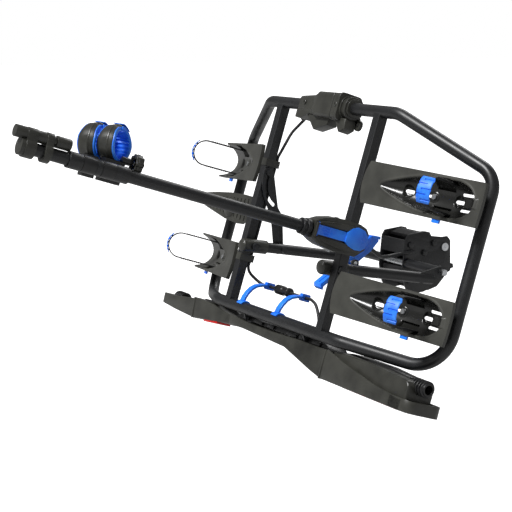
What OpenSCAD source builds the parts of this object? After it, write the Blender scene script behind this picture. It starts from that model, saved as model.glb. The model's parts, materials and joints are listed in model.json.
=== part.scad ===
// Tow-ball bike carrier for two bikes, in millimetres.
// The origin is the centre of the tow ball, X runs across the car, Y to the front and Z up.
// The platform is drawn swung back on its two arms, with its rear edge down.

/* [Platform frame] */
// Distance of each square bar from the middle
bar_x = 216; // [205:1:225]
// Width of the square bars
bar_w = 25; // [24:0.5:26]
// Diameter of the bent frame tube
tube_d = 28.5; // [27:0.5:30]
// Distance of the front tube from the middle of the platform
front_y = 260; // [255:1:270]
// Distance of the rear tube from the middle of the platform
rear_y = 260; // [255:1:265]
// Length of each drooping wing, measured along its slope
wing_run = 270; // [262:1:278]
// Droop of the wings in degrees
wing_drop = 25; // [23:0.5:27]

/* [Tilt] */
// Angle of the platform in the drawn position, in degrees
tilt = 72.5; // [68:0.5:74]
// Fall of the arms towards the tow ball, in degrees
arm_slope = 10; // [8:0.5:12]
// Diameter of the arms
arm_d = 26; // [24:0.5:28]
// Distance of each arm from the middle
arm_x = 185; // [183:0.5:186]

/* [Wheel trays] */
// Width of a wheel tray
tray_w = 96; // [90:1:100]
// Depth of the wheel hollow at the outer end
tray_depth = 36; // [32:1:40]
// Distance of the front pair of trays from the middle
tray_front_y = 98; // [94:1:102]
// Distance of the rear pair of trays behind the middle
tray_rear_y = 157; // [153:1:160]
// Height of a strap loop
loop_h = 132; // [120:1:140]

/* [Mast] */
// Diameter of the mast
mast_d = 27; // [25:0.5:29]
// Height of the top of the mast above the platform
mast_h = 790; // [760:1:820]
// Distance of the mast behind the middle of the platform
mast_y = 35; // [32:1:38]
// Outer radius of a frame clamp
clamp_r = 41; // [38:0.5:44]

/* [Lamp board] */
// Half of the width of the lamp board
board_x = 580; // [560:5:590]
// Height of a lamp unit
lamp_h = 96; // [88:1:104]

/* [Hidden] */
$fn = 48;
tow_d = 50;
ball_gap = 0.4;
fit_gap = 0.4;
seat_gap = 0.1;
bend_lap = 0.5;
bolt_d = 12;
bolt_fit = 0.25;
plate_t = 5;

// Colours
steel_black = [0.08, 0.08, 0.09];
plastic_dark = [0.24, 0.24, 0.22];
plastic_black = [0.1, 0.1, 0.1];
blue = [0.12, 0.49, 0.98];
steel_bright = [0.75, 0.76, 0.78];
lamp_red = [0.75, 0.05, 0.04];
rubber_black = [0.06, 0.06, 0.06];

// Platform frame, seen from its own middle
bend_x = bar_x + 67;
out_x = bend_x + wing_run * cos(wing_drop);
out_z = -wing_run * sin(wing_drop);
corner_y = front_y - 90;
joint_y = 20;
bend_r = 60;
corner_r = 55;
round_r = 85;
bar_in = bar_x - bar_w / 2;
bar_out = bar_x + bar_w / 2;
tube_r = tube_d / 2;

spot_depth = 2;

// Tow ball to the middle of the platform
mid_y = -300;
mid_z = 190;

// Tilt pivot, in the platform and at the ball
pivot_y = -108;
hinge_y = mid_y + pivot_y * cos(tilt);
hinge_z = mid_z + pivot_y * sin(tilt);
sleeve_d = 2 * (bar_in - arm_x - 1.5);
sleeve_back = 26;
arm_end = 285;
stay_pin_s = 85;
stay_bolt_y = 79;
stay_bolt_r = stay_bolt_y - pivot_y;
stay_angle = tilt + arm_slope;
stay_dy = stay_bolt_r * cos(stay_angle) - stay_pin_s;
stay_dz = stay_bolt_r * sin(stay_angle);
stay_len = sqrt(stay_dy * stay_dy + stay_dz * stay_dz);
stay_turn = atan2(stay_dz, stay_dy);
tilt_travel = 60;
stay_end = stay_turn_at(tilt_travel);
stay_ratio = (stay_turn - stay_end) / tilt_travel;
stay_t = 3.4;
stay_x = arm_d / 2 + 0.2 + stay_t / 2;

// Coupling
coupling_x = 50;
shaft_y = -30;
shaft_z = 53;
shaft_d = 16;
jaw_pin_y = 81;
jaw_pin_z = 86;

// Wheel trays
tray_in_x = 237;
tray_in_z = 17;
tray_out_x = out_x + 41;
tray_out_z = out_z + 52;
tray_dx = tray_out_x - tray_in_x;
tray_dz = tray_out_z - tray_in_z;
tray_len = sqrt(tray_dx * tray_dx + tray_dz * tray_dz);
tray_slope = atan2(-tray_dz, tray_dx);
tray_t = 3;
clip_wall = 1.1;
tray_r = tray_w / 2 - 5;
loop_r = 31;
loop_u = 236;
loop_lean = 25.5;
loop_root = 3.6;
pad_w = 32;
pad_arc = 98;
screw_u = 190;

// Mast
mast_x = bar_x;
mast_r = mast_d / 2;
fold_z = 42;
top_barrel_y = -mast_y + mast_r + 13.5;
grip_z = mast_h - 228;
grip_end = mast_h - 90.2;
grip_d = mast_d + 8;
knob_z = mast_h - 258;
clamp_tilt = 34;
clamp_turn = 6;
clamp_w = 37;

// Lamp board
board_y = -290;
board_back = -352;
board_mid_back = -314;
board_t = 3;
unit_x = 250;
unit_in = unit_x - 9;
panel_x = unit_in - seat_gap;

// Placing

module on_platform() {
    translate([0, mid_y, mid_z])
        rotate([tilt, 0, 0])
            children();
}

module on_arm(side) {
    translate([side * arm_x, hinge_y, hinge_z])
        rotate([-arm_slope, 0, 0])
            children();
}

module on_tray(side, y) {
    mirror([side < 0 ? 1 : 0, 0, 0])
        translate([tray_in_x, y, tray_in_z])
            rotate([0, tray_slope, 0])
                children();
}

module on_loop(side, y) {
    on_platform()
        mirror([side < 0 ? 1 : 0, 0, 0])
            translate([tray_in_x + loop_u * cos(tray_slope), y, tray_in_z - loop_u * sin(tray_slope) - 29])
                rotate([0, loop_lean, 0])
                    children();
}

// Shapes

module rod(a, b, d) {
    v = b - a;
    translate(a)
        rotate([0, acos(v[2] / norm(v)), atan2(v[1], v[0])])
            cylinder(h = norm(v), d = d);
}

module pin_x(from, to, d) {
    translate([from, 0, 0])
        rotate([0, 90, 0])
            cylinder(h = to - from, d = d);
}

module hex_x(from, to, across) {
    translate([from, 0, 0])
        rotate([0, 90, 0])
            cylinder(h = to - from, d = across / cos(30), $fn = 6);
}

function unit(v) = v / norm(v);

function bend_angle(a, b, c) = acos(min(1, unit(b - a) * unit(c - b)));

function bend_run(a, b, c, r) = r * tan(bend_angle(a, b, c) / 2);

module bend(a, b, c, r, d) {
    u = unit(b - a);
    n = unit(cross(u, unit(c - b)));
    m = cross(n, u);
    start = b - u * bend_run(a, b, c, r);
    centre = start + m * r;
    multmatrix([
        [-m[0], u[0], n[0], centre[0]],
        [-m[1], u[1], n[1], centre[1]],
        [-m[2], u[2], n[2], centre[2]],
        [0, 0, 0, 1],
    ])
        rotate([0, 0, -bend_lap])
            rotate_extrude(angle = bend_angle(a, b, c) + 2 * bend_lap)
                translate([r, 0])
                    circle(d = d - 0.1);
}

module bent_rod(path, radii, d) {
    count = len(path);
    for (i = [0:count - 2]) {
        here = path[i];
        next = path[i + 1];
        way = unit(next - here);
        cut_a = i == 0 ? 0 : bend_run(path[i - 1], here, next, radii[i]);
        cut_b = i == count - 2 ? 0 : bend_run(here, next, path[i + 2], radii[i + 1]);
        rod(here + way * cut_a, next - way * cut_b, d);
        if (i > 0)
            bend(path[i - 1], here, next, radii[i], d);
    }
}

module rounded_square(w, h, r) {
    translate([-w / 2 + r, -h / 2])
        square([w - 2 * r, h]);
    translate([-w / 2, -h / 2 + r])
        square([w, h - 2 * r]);
    for (x = [-1, 1], y = [-1, 1])
        translate([x * (w / 2 - r), y * (h / 2 - r)])
            circle(r = r);
}

module slot_2d(length, w) {
    translate([-length / 2 + w / 2, -w / 2])
        square([length - w, w]);
    for (s = [-1, 1])
        translate([s * (length - w) / 2, 0])
            circle(d = w);
}

// Extrudes a flat shape drawn in (y, z) along x, from one x to another
module along_x(from, to) {
    translate([from, 0, 0])
        rotate([90, 0, 90])
            linear_extrude(to - from)
                children();
}

// Extrudes a flat shape drawn in (x, z) along y, from one y to another
module along_y(from, to) {
    translate([0, to, 0])
        rotate([90, 0, 0])
            linear_extrude(to - from)
                children();
}

// Frame

wall_t = 2;
front_path = [
    [-out_x, joint_y, out_z], [-out_x, corner_y, out_z], [-bend_x, front_y, 0],
    [bend_x, front_y, 0], [out_x, corner_y, out_z], [out_x, joint_y, out_z],
];
front_radii = [0, corner_r, bend_r, bend_r, corner_r, 0];
rear_path = [
    [-out_x, joint_y, out_z], [-out_x, -rear_y, out_z], [-bend_x, -rear_y, 0],
    [bend_x, -rear_y, 0], [out_x, -rear_y, out_z], [out_x, joint_y, out_z],
];
rear_radii = [0, round_r, bend_r, bend_r, round_r, 0];

module frame_tube(path, radii, way) {
    last = len(path) - 1;
    inner = [for (i = [0:last]) i == 0 || i == last ? path[i] + [0, way, 0] : path[i]];
    color(steel_black)
        on_platform()
            difference() {
                bent_rod(path, radii, tube_d);
                bent_rod(inner, radii, tube_d - 2 * wall_t);
            }
}

module frame_front_tube() {
    frame_tube(front_path, front_radii, -1);
}

module frame_rear_tube() {
    frame_tube(rear_path, rear_radii, 1);
}

module bar_hole(y, d) {
    translate([0, y, 0])
        pin_x(-20, 20, d);
}

module frame_bars() {
    color(steel_black)
        on_platform()
            for (side = [-1, 1])
                translate([side * bar_x, 0, 0])
                    difference() {
                        along_y(-rear_y, front_y)
                            difference() {
                                rounded_square(bar_w, bar_w, 2.5);
                                square(bar_w - 2 * wall_t, center = true);
                            }
                        for (y = [-rear_y, front_y])
                            translate([0, y, 0])
                                pin_x(-20, 20, tube_d);
                        bar_hole(pivot_y, bolt_d + 2 * bolt_fit);
                        if (side < 0)
                            bar_hole(stay_bolt_y, 8);
                    }
}

// Arms, drawn along their own Y from the tilt pivot to the coupling

module arm_shape(side) {
    difference() {
        union() {
            rotate([-90, 0, 0])
                translate([0, 0, 6 - sleeve_back])
                    cylinder(h = arm_end - 6 + sleeve_back, d = arm_d);
            translate([side * 4, 0, 0])
                along_x(-3, 3)
                    difference() {
                        hull() {
                            translate([arm_end - 34, 0])
                                circle(r = arm_d / 2);
                            translate([shaft_s(), shaft_up()])
                                circle(r = 14);
                        }
                        translate([shaft_s(), shaft_up()])
                            circle(d = shaft_d);
                    }
            if (side > 0)
                along_x(-arm_d / 2 - 3, -arm_d / 2 + 3) {
                    translate([pedal_s - 9, 0])
                        square([18, pedal_up]);
                    translate([pedal_s, pedal_up])
                        circle(r = 9);
                }
        }
        rotate([-90, 0, 0])
            translate([0, 0, -sleeve_back])
                cylinder(h = arm_end - 4 + sleeve_back, d = arm_d - 2 * wall_t);
        pin_x(-40, 40, bolt_d);
        if (side < 0)
            translate([0, stay_pin_s, 0]) {
                pin_x(-40, 40, 10);
                pin_x(arm_d / 2 - 0.5, arm_d, 18);
            }
        if (side > 0)
            translate([0, pedal_s, pedal_up])
                pin_x(-40, 0, 10);
        translate([side * 4, shaft_s(), shaft_up()])
            pin_x(-40, 40, shaft_d);
    }
}

function shaft_s() = (shaft_y - hinge_y) * cos(arm_slope) - (shaft_z - hinge_z) * sin(arm_slope);

function shaft_up() = (shaft_y - hinge_y) * sin(arm_slope) + (shaft_z - hinge_z) * cos(arm_slope);

module arm_tubes() {
    color(steel_black)
        for (side = [-1, 1])
            on_arm(side)
                arm_shape(side);
}

module arm_sleeves() {
    color(plastic_dark)
        for (side = [-1, 1])
            on_arm(side)
                difference() {
                    rotate([-90, 0, 0])
                        translate([0, 0, -sleeve_back])
                            cylinder(h = sleeve_back + 38, d = sleeve_d);
                    rotate([-90, 0, 0])
                        translate([0, 0, 6 - sleeve_back])
                            cylinder(h = 130, d = arm_d);
                    pin_x(-40, 40, bolt_d);
                    mirror([side < 0 ? 1 : 0, 0, 0])
                        pin_x(-sleeve_d, -sleeve_d / 2 + spot_depth, 24);
                }
}

module arm_caps() {
    color(plastic_dark)
        for (side = [-1, 1])
            on_arm(side)
                rotate([-90, 0, 0])
                    translate([0, 0, -sleeve_back - 8])
                        rotate_extrude()
                            polygon([
                                [0, 0], [sleeve_d / 2 - 8, 0], [sleeve_d / 2 - 3, 2], [sleeve_d / 2 - 1, 4.5],
                                [sleeve_d / 2, 8], [0, 8],
                            ]);
}

module pivot_bolts() {
    color(steel_black)
        for (side = [-1, 1])
            translate([0, hinge_y, hinge_z])
                mirror([side < 0 ? 1 : 0, 0, 0]) {
                    pin_x(arm_x - sleeve_d / 2 - 4, bar_out + 4, bolt_d);
                    hex_x(arm_x - sleeve_d / 2 - 6, arm_x - sleeve_d / 2 + spot_depth, 19);
                    pin_x(bar_out + 0.4, bar_out + 5.5, 20);
                }
}

module cross_shaft() {
    color(steel_bright)
        translate([0, shaft_y, shaft_z])
            rotate([0, 90, 0])
                rotate_extrude()
                    polygon([
                        [0, -arm_x - 22], [shaft_d / 2 - 1.5, -arm_x - 22], [shaft_d / 2, -arm_x - 20.5],
                        [shaft_d / 2, arm_x + 20.5], [shaft_d / 2 - 1.5, arm_x + 22], [0, arm_x + 22],
                    ]);
}

module shaft_spacers() {
    color(steel_black)
        for (side = [-1, 1])
            translate([0, shaft_y, shaft_z])
                mirror([side < 0 ? 1 : 0, 0, 0])
                    difference() {
                        pin_x(coupling_x + plate_t / 2, arm_x + 1, 24);
                        pin_x(0, 300, shaft_d);
                    }
}

// Coupling, drawn in (y, z) from the tow ball

coupling_outline = [
    [-40, 74], [-36, 112], [-28, 124], [22, 129], [35, 126], [41, 116], [74, 111], [90, 112], [99, 101],
    [101, 25], [71, 10], [38, -2], [35, -17], [20, -22], [-16, -25], [-25, -19], [-35, -6], [-44, 38],
];

module coupling_plate() {
    difference() {
        polygon(coupling_outline);
        translate([shaft_y, shaft_z])
            circle(d = shaft_d);
        translate([jaw_pin_y, jaw_pin_z])
            circle(d = 12);
        for (p = coupling_bolt_places)
            translate(p)
                circle(d = 8);
    }
}

coupling_bolt_places = [[-22, 98], [20, 76], [48, 98], [-24, 8]];

module coupling_plates() {
    color(steel_black)
        for (side = [-1, 1])
            translate([side * coupling_x, 0, 0])
                along_x(-plate_t / 2, plate_t / 2)
                    coupling_plate();
    color(steel_black)
        along_x(-coupling_x, coupling_x)
            polygon([[-39, 76], [-35.5, 110], [-31.5, 110], [-35, 76]]);
}

module coupling_bolts() {
    color(steel_black)
        for (p = coupling_bolt_places)
            translate([0, p[0], p[1]]) {
                pin_x(-coupling_x - plate_t / 2 - 1, coupling_x + plate_t / 2 + 1, 8);
                pin_x(-coupling_x + plate_t / 2, coupling_x - plate_t / 2, 15);
                for (side = [-1, 1])
                    mirror([side < 0 ? 1 : 0, 0, 0])
                        hex_x(coupling_x + plate_t / 2, coupling_x + plate_t / 2 + 5, 13);
            }
}

module ball_socket() {
    socket_in = coupling_x - plate_t / 2;
    color(plastic_black)
        difference() {
            along_x(-socket_in, socket_in)
                polygon([[-34, 2], [-34, 38], [-24, 46], [16, 46], [24, 34], [24, 12], [16, 2]]);
            sphere(d = tow_d + 2 * ball_gap, $fn = 64);
            cylinder(h = 60, d = tow_d + 2 * ball_gap, center = true);
            translate([0, -24, 8])
                pin_x(-60, 60, 15.2);
            translate([0, shaft_y, shaft_z])
                pin_x(-60, 60, shaft_d + 2);
        }
}

module rest_pad() {
    color(rubber_black)
        translate([0, 0, 120])
            along_x(-coupling_x + plate_t / 2, coupling_x - plate_t / 2)
                polygon([[-14, -8], [30, -8], [30, 2], [22, 6], [4, 6], [-4, 2], [-14, 0]]);
}

// Jaw that closes under the front of the tow ball, hung from the jaw pin
module ball_jaw() {
    jaw_in = coupling_x - plate_t / 2 - 3;
    color(plastic_black)
        difference() {
            along_x(-jaw_in, jaw_in)
                polygon([
                    [70, 92], [76, 98], [90, 98], [96, 88], [97, 66], [101, 42], [114, 40], [116, 30], [100, 26],
                    [86, 6], [66, -14], [40, -21], [17, -21], [17, -4], [28, 10], [44, 20], [62, 30], [68, 52],
                ]);
            sphere(d = tow_d + 2 * ball_gap, $fn = 64);
            translate([0, jaw_pin_y, jaw_pin_z])
                pin_x(-60, 60, 12 + 2 * bolt_fit);
        }
}

module jaw_pin() {
    color(steel_bright)
        translate([0, jaw_pin_y, jaw_pin_z]) {
            pin_x(-coupling_x - 6, coupling_x + 6, 12);
            for (side = [-1, 1])
                mirror([side < 0 ? 1 : 0, 0, 0])
                    pin_x(coupling_x + plate_t / 2, coupling_x + 6, 20);
        }
}

// Foot pedal that frees the tilt, beside the near arm
pedal_x = 148;
pedal_y = hinge_y + 72;
pedal_z = hinge_z + 3;
pedal_s = (pedal_y - hinge_y) * cos(arm_slope) - (pedal_z - hinge_z) * sin(arm_slope);
pedal_up = (pedal_y - hinge_y) * sin(arm_slope) + (pedal_z - hinge_z) * cos(arm_slope);

module tilt_pedal() {
    color(blue)
        translate([pedal_x, pedal_y, pedal_z])
            rotate([27, 0, 0])
                difference() {
                    union() {
                        along_x(-3, 3)
                            polygon([
                                [-92, -14], [-96, -4], [-92, 5], [-20, 8], [10, 12], [40, 22], [76, 24], [92, 12],
                                [90, 2], [60, -8], [20, -12], [-40, -10],
                            ]);
                        along_x(-15, 15)
                            polygon([[-98, -14], [-100, -6], [-96, 2], [-66, 4], [-64, -2], [-90, -6]]);
                        along_x(-11, 11)
                            polygon([[36, 17], [40, 25], [76, 27], [95, 12], [91, 6], [74, 21]]);
                    }
                    pin_x(-20, 20, 10 + 2 * bolt_fit);
                }
}

module pedal_pin() {
    color(steel_bright)
        translate([0, pedal_y, pedal_z]) {
            pin_x(pedal_x - 8, arm_x - arm_d / 2 + 2.5, 10);
            pin_x(pedal_x - 8, pedal_x - 3.5, 16);
        }
}

// Bent rod that runs from the pedal's side back to the coupling
rod_d = 9;
rod_x = coupling_x + plate_t / 2 + rod_d / 2 + seat_gap;
rod_path = [[112, -196, 128], [112, -176, 108], [100, -140, 84], [rod_x, -92, 76], [rod_x, -14, 82]];

module release_rod() {
    color(steel_black)
        bent_rod(rod_path, [0, 30, 40, 40, 0], rod_d);
}

// Slotted stay on the far side, drawn along its own Y from the stay pin

function stay_way(t) = [
    stay_bolt_r * cos(stay_angle - t) - stay_pin_s,
    stay_bolt_r * sin(stay_angle - t),
];

function stay_turn_at(t) = atan2(stay_way(t)[1], stay_way(t)[0]);

// Place of the stay bolt in the stay once the platform has come back by t degrees
function stay_spot(t) =
    let (lag = stay_turn_at(t) - stay_turn + stay_ratio * t)
        norm(stay_way(t)) * [cos(lag), sin(lag)];

// Edge of the slot at t, on one side
function slot_edge(t, side) =
    let (way = unit(stay_spot(t - 1) - stay_spot(t + 1)))
        stay_spot(t) + side * (slot_w / 2) * [-way[1], way[0]];

slot_w = 9;
slot_step = 6;

module stay_slot() {
    polygon([
        for (t = [0:slot_step:tilt_travel]) slot_edge(t, 1),
        for (t = [tilt_travel:-slot_step:0]) slot_edge(t, -1),
    ]);
    for (t = [0, tilt_travel])
        translate(stay_spot(t))
            circle(d = slot_w);
}

module tilt_stay() {
    color(steel_black)
        on_arm(-1)
            translate([-stay_x, stay_pin_s, 0])
                rotate([stay_turn, 0, 0])
                    along_x(-stay_t / 2, stay_t / 2)
                        difference() {
                            polygon([
                                [-14, -6], [-6, -14], [8, -14], [60, -20], [84, -20], [104, -12],
                                [stay_len + 8, -13], [stay_len + 13, -8], [stay_len + 13, 8], [stay_len + 8, 13],
                                [stay_len - 18, 22], [stay_len - 34, 25], [stay_len - 56, 24], [96, 14], [70, 11],
                                [8, 14], [-6, 14], [-14, 6],
                            ]);
                            circle(d = 10 + 2 * bolt_fit);
                            stay_slot();
                        }
}

module stay_bolt() {
    color(steel_black)
        on_platform()
            translate([0, stay_bolt_y, 0]) {
                pin_x(-bar_out - 1, -arm_x - arm_d / 2 + 2.5, 8);
                pin_x(-arm_x - arm_d / 2 + 0.1, -arm_x - arm_d / 2 + 4, 17);
                hex_x(-bar_out - 5, -bar_out, 13);
            }
}

module stay_pin() {
    color(steel_black)
        on_arm(-1)
            translate([0, stay_pin_s, 0]) {
                pin_x(-stay_x - stay_t / 2 - 0.1, arm_d / 2 + 2, 10);
                hex_x(arm_d / 2 - 0.5, arm_d / 2 + 5, 15);
            }
}

// Wheel trays: a flat rim with a wheel hollow that opens at the outer end

hollow_u = 46;

function hollow_r(u) =
    let (k = (u - hollow_u) / (tray_len - hollow_u))
        k <= 0 ? 0.01 : tray_r * (0.12 + 0.88 * sin(90 * min(1, k * 1.7))) * (0.86 + 0.14 * k);

module hollow(grow) {
    rotate([0, 90, 0])
        rotate_extrude()
            polygon([
                for (i = [0:8])
                    let (u = hollow_u + i * (tray_len - hollow_u) / 8)
                        [hollow_r(u) + grow, u],
                [0, tray_len],
                [0, hollow_u],
            ]);
}

module tray_slots() {
    for (u = [110, 222])
        translate([u, 0, -60])
            linear_extrude(60)
                slot_2d(22, 8);
    translate([160, 0, -60])
        linear_extrude(60)
            slot_2d(20, 7);
    for (y = [-1, 1]) {
        translate([276, y * 16, -60])
            linear_extrude(60)
                slot_2d(22, 6);
        translate([loop_u - 2, y * (loop_r + 1), -60])
            linear_extrude(60)
                square([50, 10], center = true);
    }
    translate([screw_u, 0, -60])
        cylinder(h = 60, d = 6);
}

module tray_shape() {
    difference() {
        union() {
            translate([0, 0, -tray_t])
                linear_extrude(tray_t)
                    difference() {
                        union() {
                            translate([10, -tray_w / 2])
                                square([tray_len - 10, tray_w]);
                            translate([10, 0])
                                intersection() {
                                    translate([100, 0])
                                        circle(r = 110);
                                    square([40, tray_w], center = true);
                                }
                        }
                        translate([tray_len + 30, 0])
                            circle(r = tray_r + 4);
                    }
            intersection() {
                scaled_hollow(tray_t);
                translate([20, -tray_w / 2, -tray_depth - 8])
                    cube([tray_len, tray_w, tray_depth + 8]);
            }
            for (y = [-1, 1])
                translate([0, y * (tray_w / 2 - tray_t / 2) - tray_t / 2, -9])
                    cube([tray_len - 20, tray_t, 8]);
            translate([-6.8, -16, -7])
                cube([60, 32, 4.5]);
        }
        scaled_hollow(0);
        tray_slots();
        translate([tray_len + 12, 0, -tray_depth - 20])
            rotate([0, -20, 0])
                cylinder(h = 80, r = tray_r - 8);
    }
}

// The wheel hollow is less deep than it is wide, so its axis sits above the rim
module scaled_hollow(grow) {
    translate([0, 0, tray_r - tray_depth])
        hollow(grow);
}

module wheel_trays_near() {
    color(plastic_dark)
        for (y = [tray_front_y, -tray_rear_y])
            on_platform()
                on_tray(1, y)
                    tray_shape();
}

module wheel_trays_far() {
    color(plastic_dark)
        for (y = [tray_front_y, -tray_rear_y])
            on_platform()
                on_tray(-1, y)
                    tray_shape();
}

module tray_screws() {
    color(steel_bright)
        on_platform()
            for (side = [-1, 1], y = [tray_front_y, -tray_rear_y])
                on_tray(side, y)
                    translate([screw_u, 0, tray_r - tray_depth - hollow_r(screw_u)]) {
                        translate([0, 0, -tray_t - 5])
                            cylinder(h = tray_t + 7, d = 6);
                        translate([0, 0, 1])
                            cylinder(h = 4, d = 12);
                    }
}

// Strap loop, drawn in (y, z) from its two roots

module loop_outline(grow) {
    translate([-loop_r - grow, 0])
        square([2 * loop_r + 2 * grow, loop_h - loop_r]);
    translate([0, loop_h - loop_r])
        circle(r = loop_r + grow);
}

module strap_loop(side, y) {
    color(rubber_black)
        on_loop(side, y) {
            along_x(-9, 9)
                difference() {
                    loop_outline(2.4);
                    translate([0, -1])
                        loop_outline(0);
                    loop_outline(0);
                }
            for (edge = [-1, 1])
                translate([0, edge * (loop_r + 2.3 + loop_root / 2), 13.5])
                    cube([12, loop_root, 8], center = true);
        }
}

module strap_loops() {
    for (side = [-1, 1], y = [tray_front_y, -tray_rear_y])
        strap_loop(side, y);
}

module strap_pad(side, y) {
    on_loop(side, y)
        translate([0, 0, loop_h - loop_r])
            rotate([0, 90, 0])
                translate([0, 0, -pad_w / 2])
                    difference() {
                        rotate([0, 0, 180 - pad_arc / 2])
                            rotate_extrude(angle = pad_arc)
                                translate([loop_r + 2.4 + seat_gap, 0])
                                    square([4, pad_w]);
                        for (k = [-2:2])
                            rotate([0, 0, 180 + k * pad_arc / 5.6])
                                translate([loop_r + 5.4, -1.6, k % 2 == 0 ? -1 : 7])
                                    cube([4, 3.2, pad_w - 6]);
                    }
}

module strap_pads() {
    color(blue)
        for (side = [-1, 1], y = [tray_front_y, -tray_rear_y])
            strap_pad(side, y);
}

module strap_tails() {
    color(blue)
        on_platform()
            for (side = [-1, 1], y = [tray_front_y, -tray_rear_y])
                on_tray(side, y)
                    translate([loop_u - 16, -tray_w / 2 - 8, -9])
                        cube([20, 8, 5]);
}

// Housing on the front tube

module turned_x(points) {
    rotate([0, 90, 0])
        rotate_extrude()
            polygon(points);
}

module front_housing() {
    color(plastic_dark)
        on_platform()
            translate([0, front_y, 0])
                difference() {
                    union() {
                        turned_x([
                            [0, -156], [20, -156], [24, -150], [25, -132], [31, -112], [31, -92], [29, -12],
                            [29, 66], [0, 66],
                        ]);
                        translate([-118, -44, -22])
                            cube([172, 40, 44]);
                        for (x = [-104, 6])
                            translate([x, -43, 0])
                                along_y(-16, 0)
                                    polygon([
                                        [0, -14], [34, -9], [46, -3], [46, 3], [34, 9], [0, 14], [-7, 8], [-7, -8],
                                    ]);
                    }
                    pin_x(-200, 200, tube_d);
                    translate([-16, 0, 0])
                        difference() {
                            pin_x(0, 1.6, 80);
                            pin_x(-1, 3, 56);
                        }
                }
}

module housing_collars() {
    color(plastic_dark)
        on_platform()
            translate([0, front_y, 0])
                difference() {
                    union() {
                        turned_x([
                            [0, 66 + seat_gap], [27, 66 + seat_gap], [30, 69], [30, 74], [25, 76], [25, 90], [23, 96],
                            [20, 97], [20, 104], [17.5, 106], [0, 106],
                        ]);
                        translate([72, -46, -8])
                            cube([26, 40, 16]);
                    }
                    pin_x(0, 200, tube_d);
                    translate([88, -38, 0])
                        cylinder(h = 30, d = 9, center = true);
                }
}

// Cables, held along their whole way

clip_x = bar_in + 4;
cable_z = -17.5;
hook_y = -rear_y + 66;
hook_z = -58;
plug_x = [-119, -46];
cable_left_path = [
    [-118.2, 226, -10], [-124, 226, -10], [-130, 226, -10], [-146, 227, -26], [-168, 216, -31], [-184, 190, -24],
    [-190, 160, -18], [-200, 138, cable_z], [-clip_x, 124, cable_z], [-clip_x, 114, cable_z], [-clip_x, 90, cable_z],
    [-clip_x, -60, cable_z], [-clip_x, -126, cable_z], [-clip_x, -152, cable_z], [-clip_x, -160, cable_z],
    [-204, -174, -24], [-194, -187, -42], [-180, hook_y, -55], [-170, hook_y, hook_z], [-162, hook_y, hook_z],
    [-132, hook_y, hook_z], [plug_x[0] - 0.1, hook_y, hook_z],
];
cable_right_path = [
    [plug_x[1] + 0.1, hook_y, hook_z], [0, hook_y, hook_z], [36, hook_y, hook_z], [50, hook_y, hook_z],
    [74, -204, -60], [98, -234, -62], [106, -262, -62], [106, -276, -62], [106, board_y + 0.2, -62],
];

function smooth_step(a, b, c, d, t) =
    0.5 * (2 * b + (c - a) * t + (2 * a - 5 * b + 4 * c - d) * t * t + (3 * b - a - 3 * c + d) * t * t * t);

function smooth_path(p, steps) = [
    for (i = [0:len(p) - 2], k = [0:steps - 1])
        smooth_step(p[max(0, i - 1)], p[i], p[i + 1], p[min(len(p) - 1, i + 2)], k / steps),
    p[len(p) - 1],
];

module swept_tube(path, r, sides) {
    count = len(path);
    points = [
        for (i = [0:count - 1])
            let (
                way = unit(path[min(count - 1, i + 1)] - path[max(0, i - 1)]),
                up = abs(way[2]) > 0.9 ? [1, 0, 0] : [0, 0, 1],
                across = unit(cross(way, up)),
                over = cross(across, way)
            )
            for (k = [0:sides - 1])
                path[i] + across * r * cos(360 * k / sides) + over * r * sin(360 * k / sides)
    ];
    faces = concat(
        [[for (k = [0:sides - 1]) k]],
        [
            for (i = [0:count - 2], k = [0:sides - 1])
                [i * sides + k, (i + 1) * sides + k, (i + 1) * sides + (k + 1) % sides, i * sides + (k + 1) % sides]
        ],
        [[for (k = [0:sides - 1]) (count - 1) * sides + sides - 1 - k]]
    );
    polyhedron(points, faces, convexity = 6);
}

module cable_left() {
    color(rubber_black)
        on_platform()
            swept_tube(smooth_path(cable_left_path, 5), 3.8, 10);
}

module cable_right() {
    color(rubber_black)
        on_platform()
            swept_tube(smooth_path(cable_right_path, 5), 3.8, 10);
}

module cable_clips() {
    color(plastic_dark)
        on_platform()
            for (y = [104, -140])
                translate([0, y, 0])
                    along_y(-9, 9)
                        mirror([1, 0])
                            difference() {
                                translate([bar_in - clip_wall, -25])
                                    square([bar_w - 3, 40]);
                                translate([bar_in - seat_gap, -bar_w / 2 - seat_gap])
                                    square([bar_w + 5, bar_w + 2 * seat_gap]);
                                translate([clip_x, cable_z])
                                    circle(d = 8.4);
                            }
}

module plug() {
    color(plastic_black)
        on_platform()
            translate([plug_x[0], hook_y, hook_z])
                turned_x([
                    [0, 0], [6, 0], [7, 7], [12, 11], [12, 41], [10, 43], [10, 61], [12, 63], [12, 69],
                    [5, plug_x[1] - plug_x[0]], [0, plug_x[1] - plug_x[0]],
                ]);
}

hook_w = 12;

module hook_shape() {
    difference() {
        union() {
            translate([-rear_y, 0])
                circle(r = tube_r + 4);
            translate([-rear_y + 6, tube_r - 2])
                square([22, 6]);
            difference() {
                translate([-rear_y + 28, -24])
                    circle(r = 42);
                translate([-rear_y + 28, -24])
                    circle(r = 37);
                translate([-rear_y - 40, -110])
                    square([68, 150]);
                translate([-rear_y, -160])
                    square([120, 98]);
            }
            translate([hook_y, hook_z])
                circle(r = 8);
        }
        translate([-rear_y, 0])
            circle(r = tube_r);
        translate([-rear_y - 40, -60])
            square([48, 52]);
        translate([hook_y, hook_z])
            circle(r = 4.2);
        translate([hook_y, hook_z - 3])
            square([20, 6]);
    }
}

module cable_hooks() {
    color(blue)
        on_platform()
            for (x = [-150, 20])
                along_x(x - hook_w / 2, x + hook_w / 2)
                    hook_shape();
}

// Slatted rest for the folded mast, between the far bar and the far wing
rest_in = bar_out + 20;
rest_out = out_x - 8;
rest_z = -12;
slat_step = 19;

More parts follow.
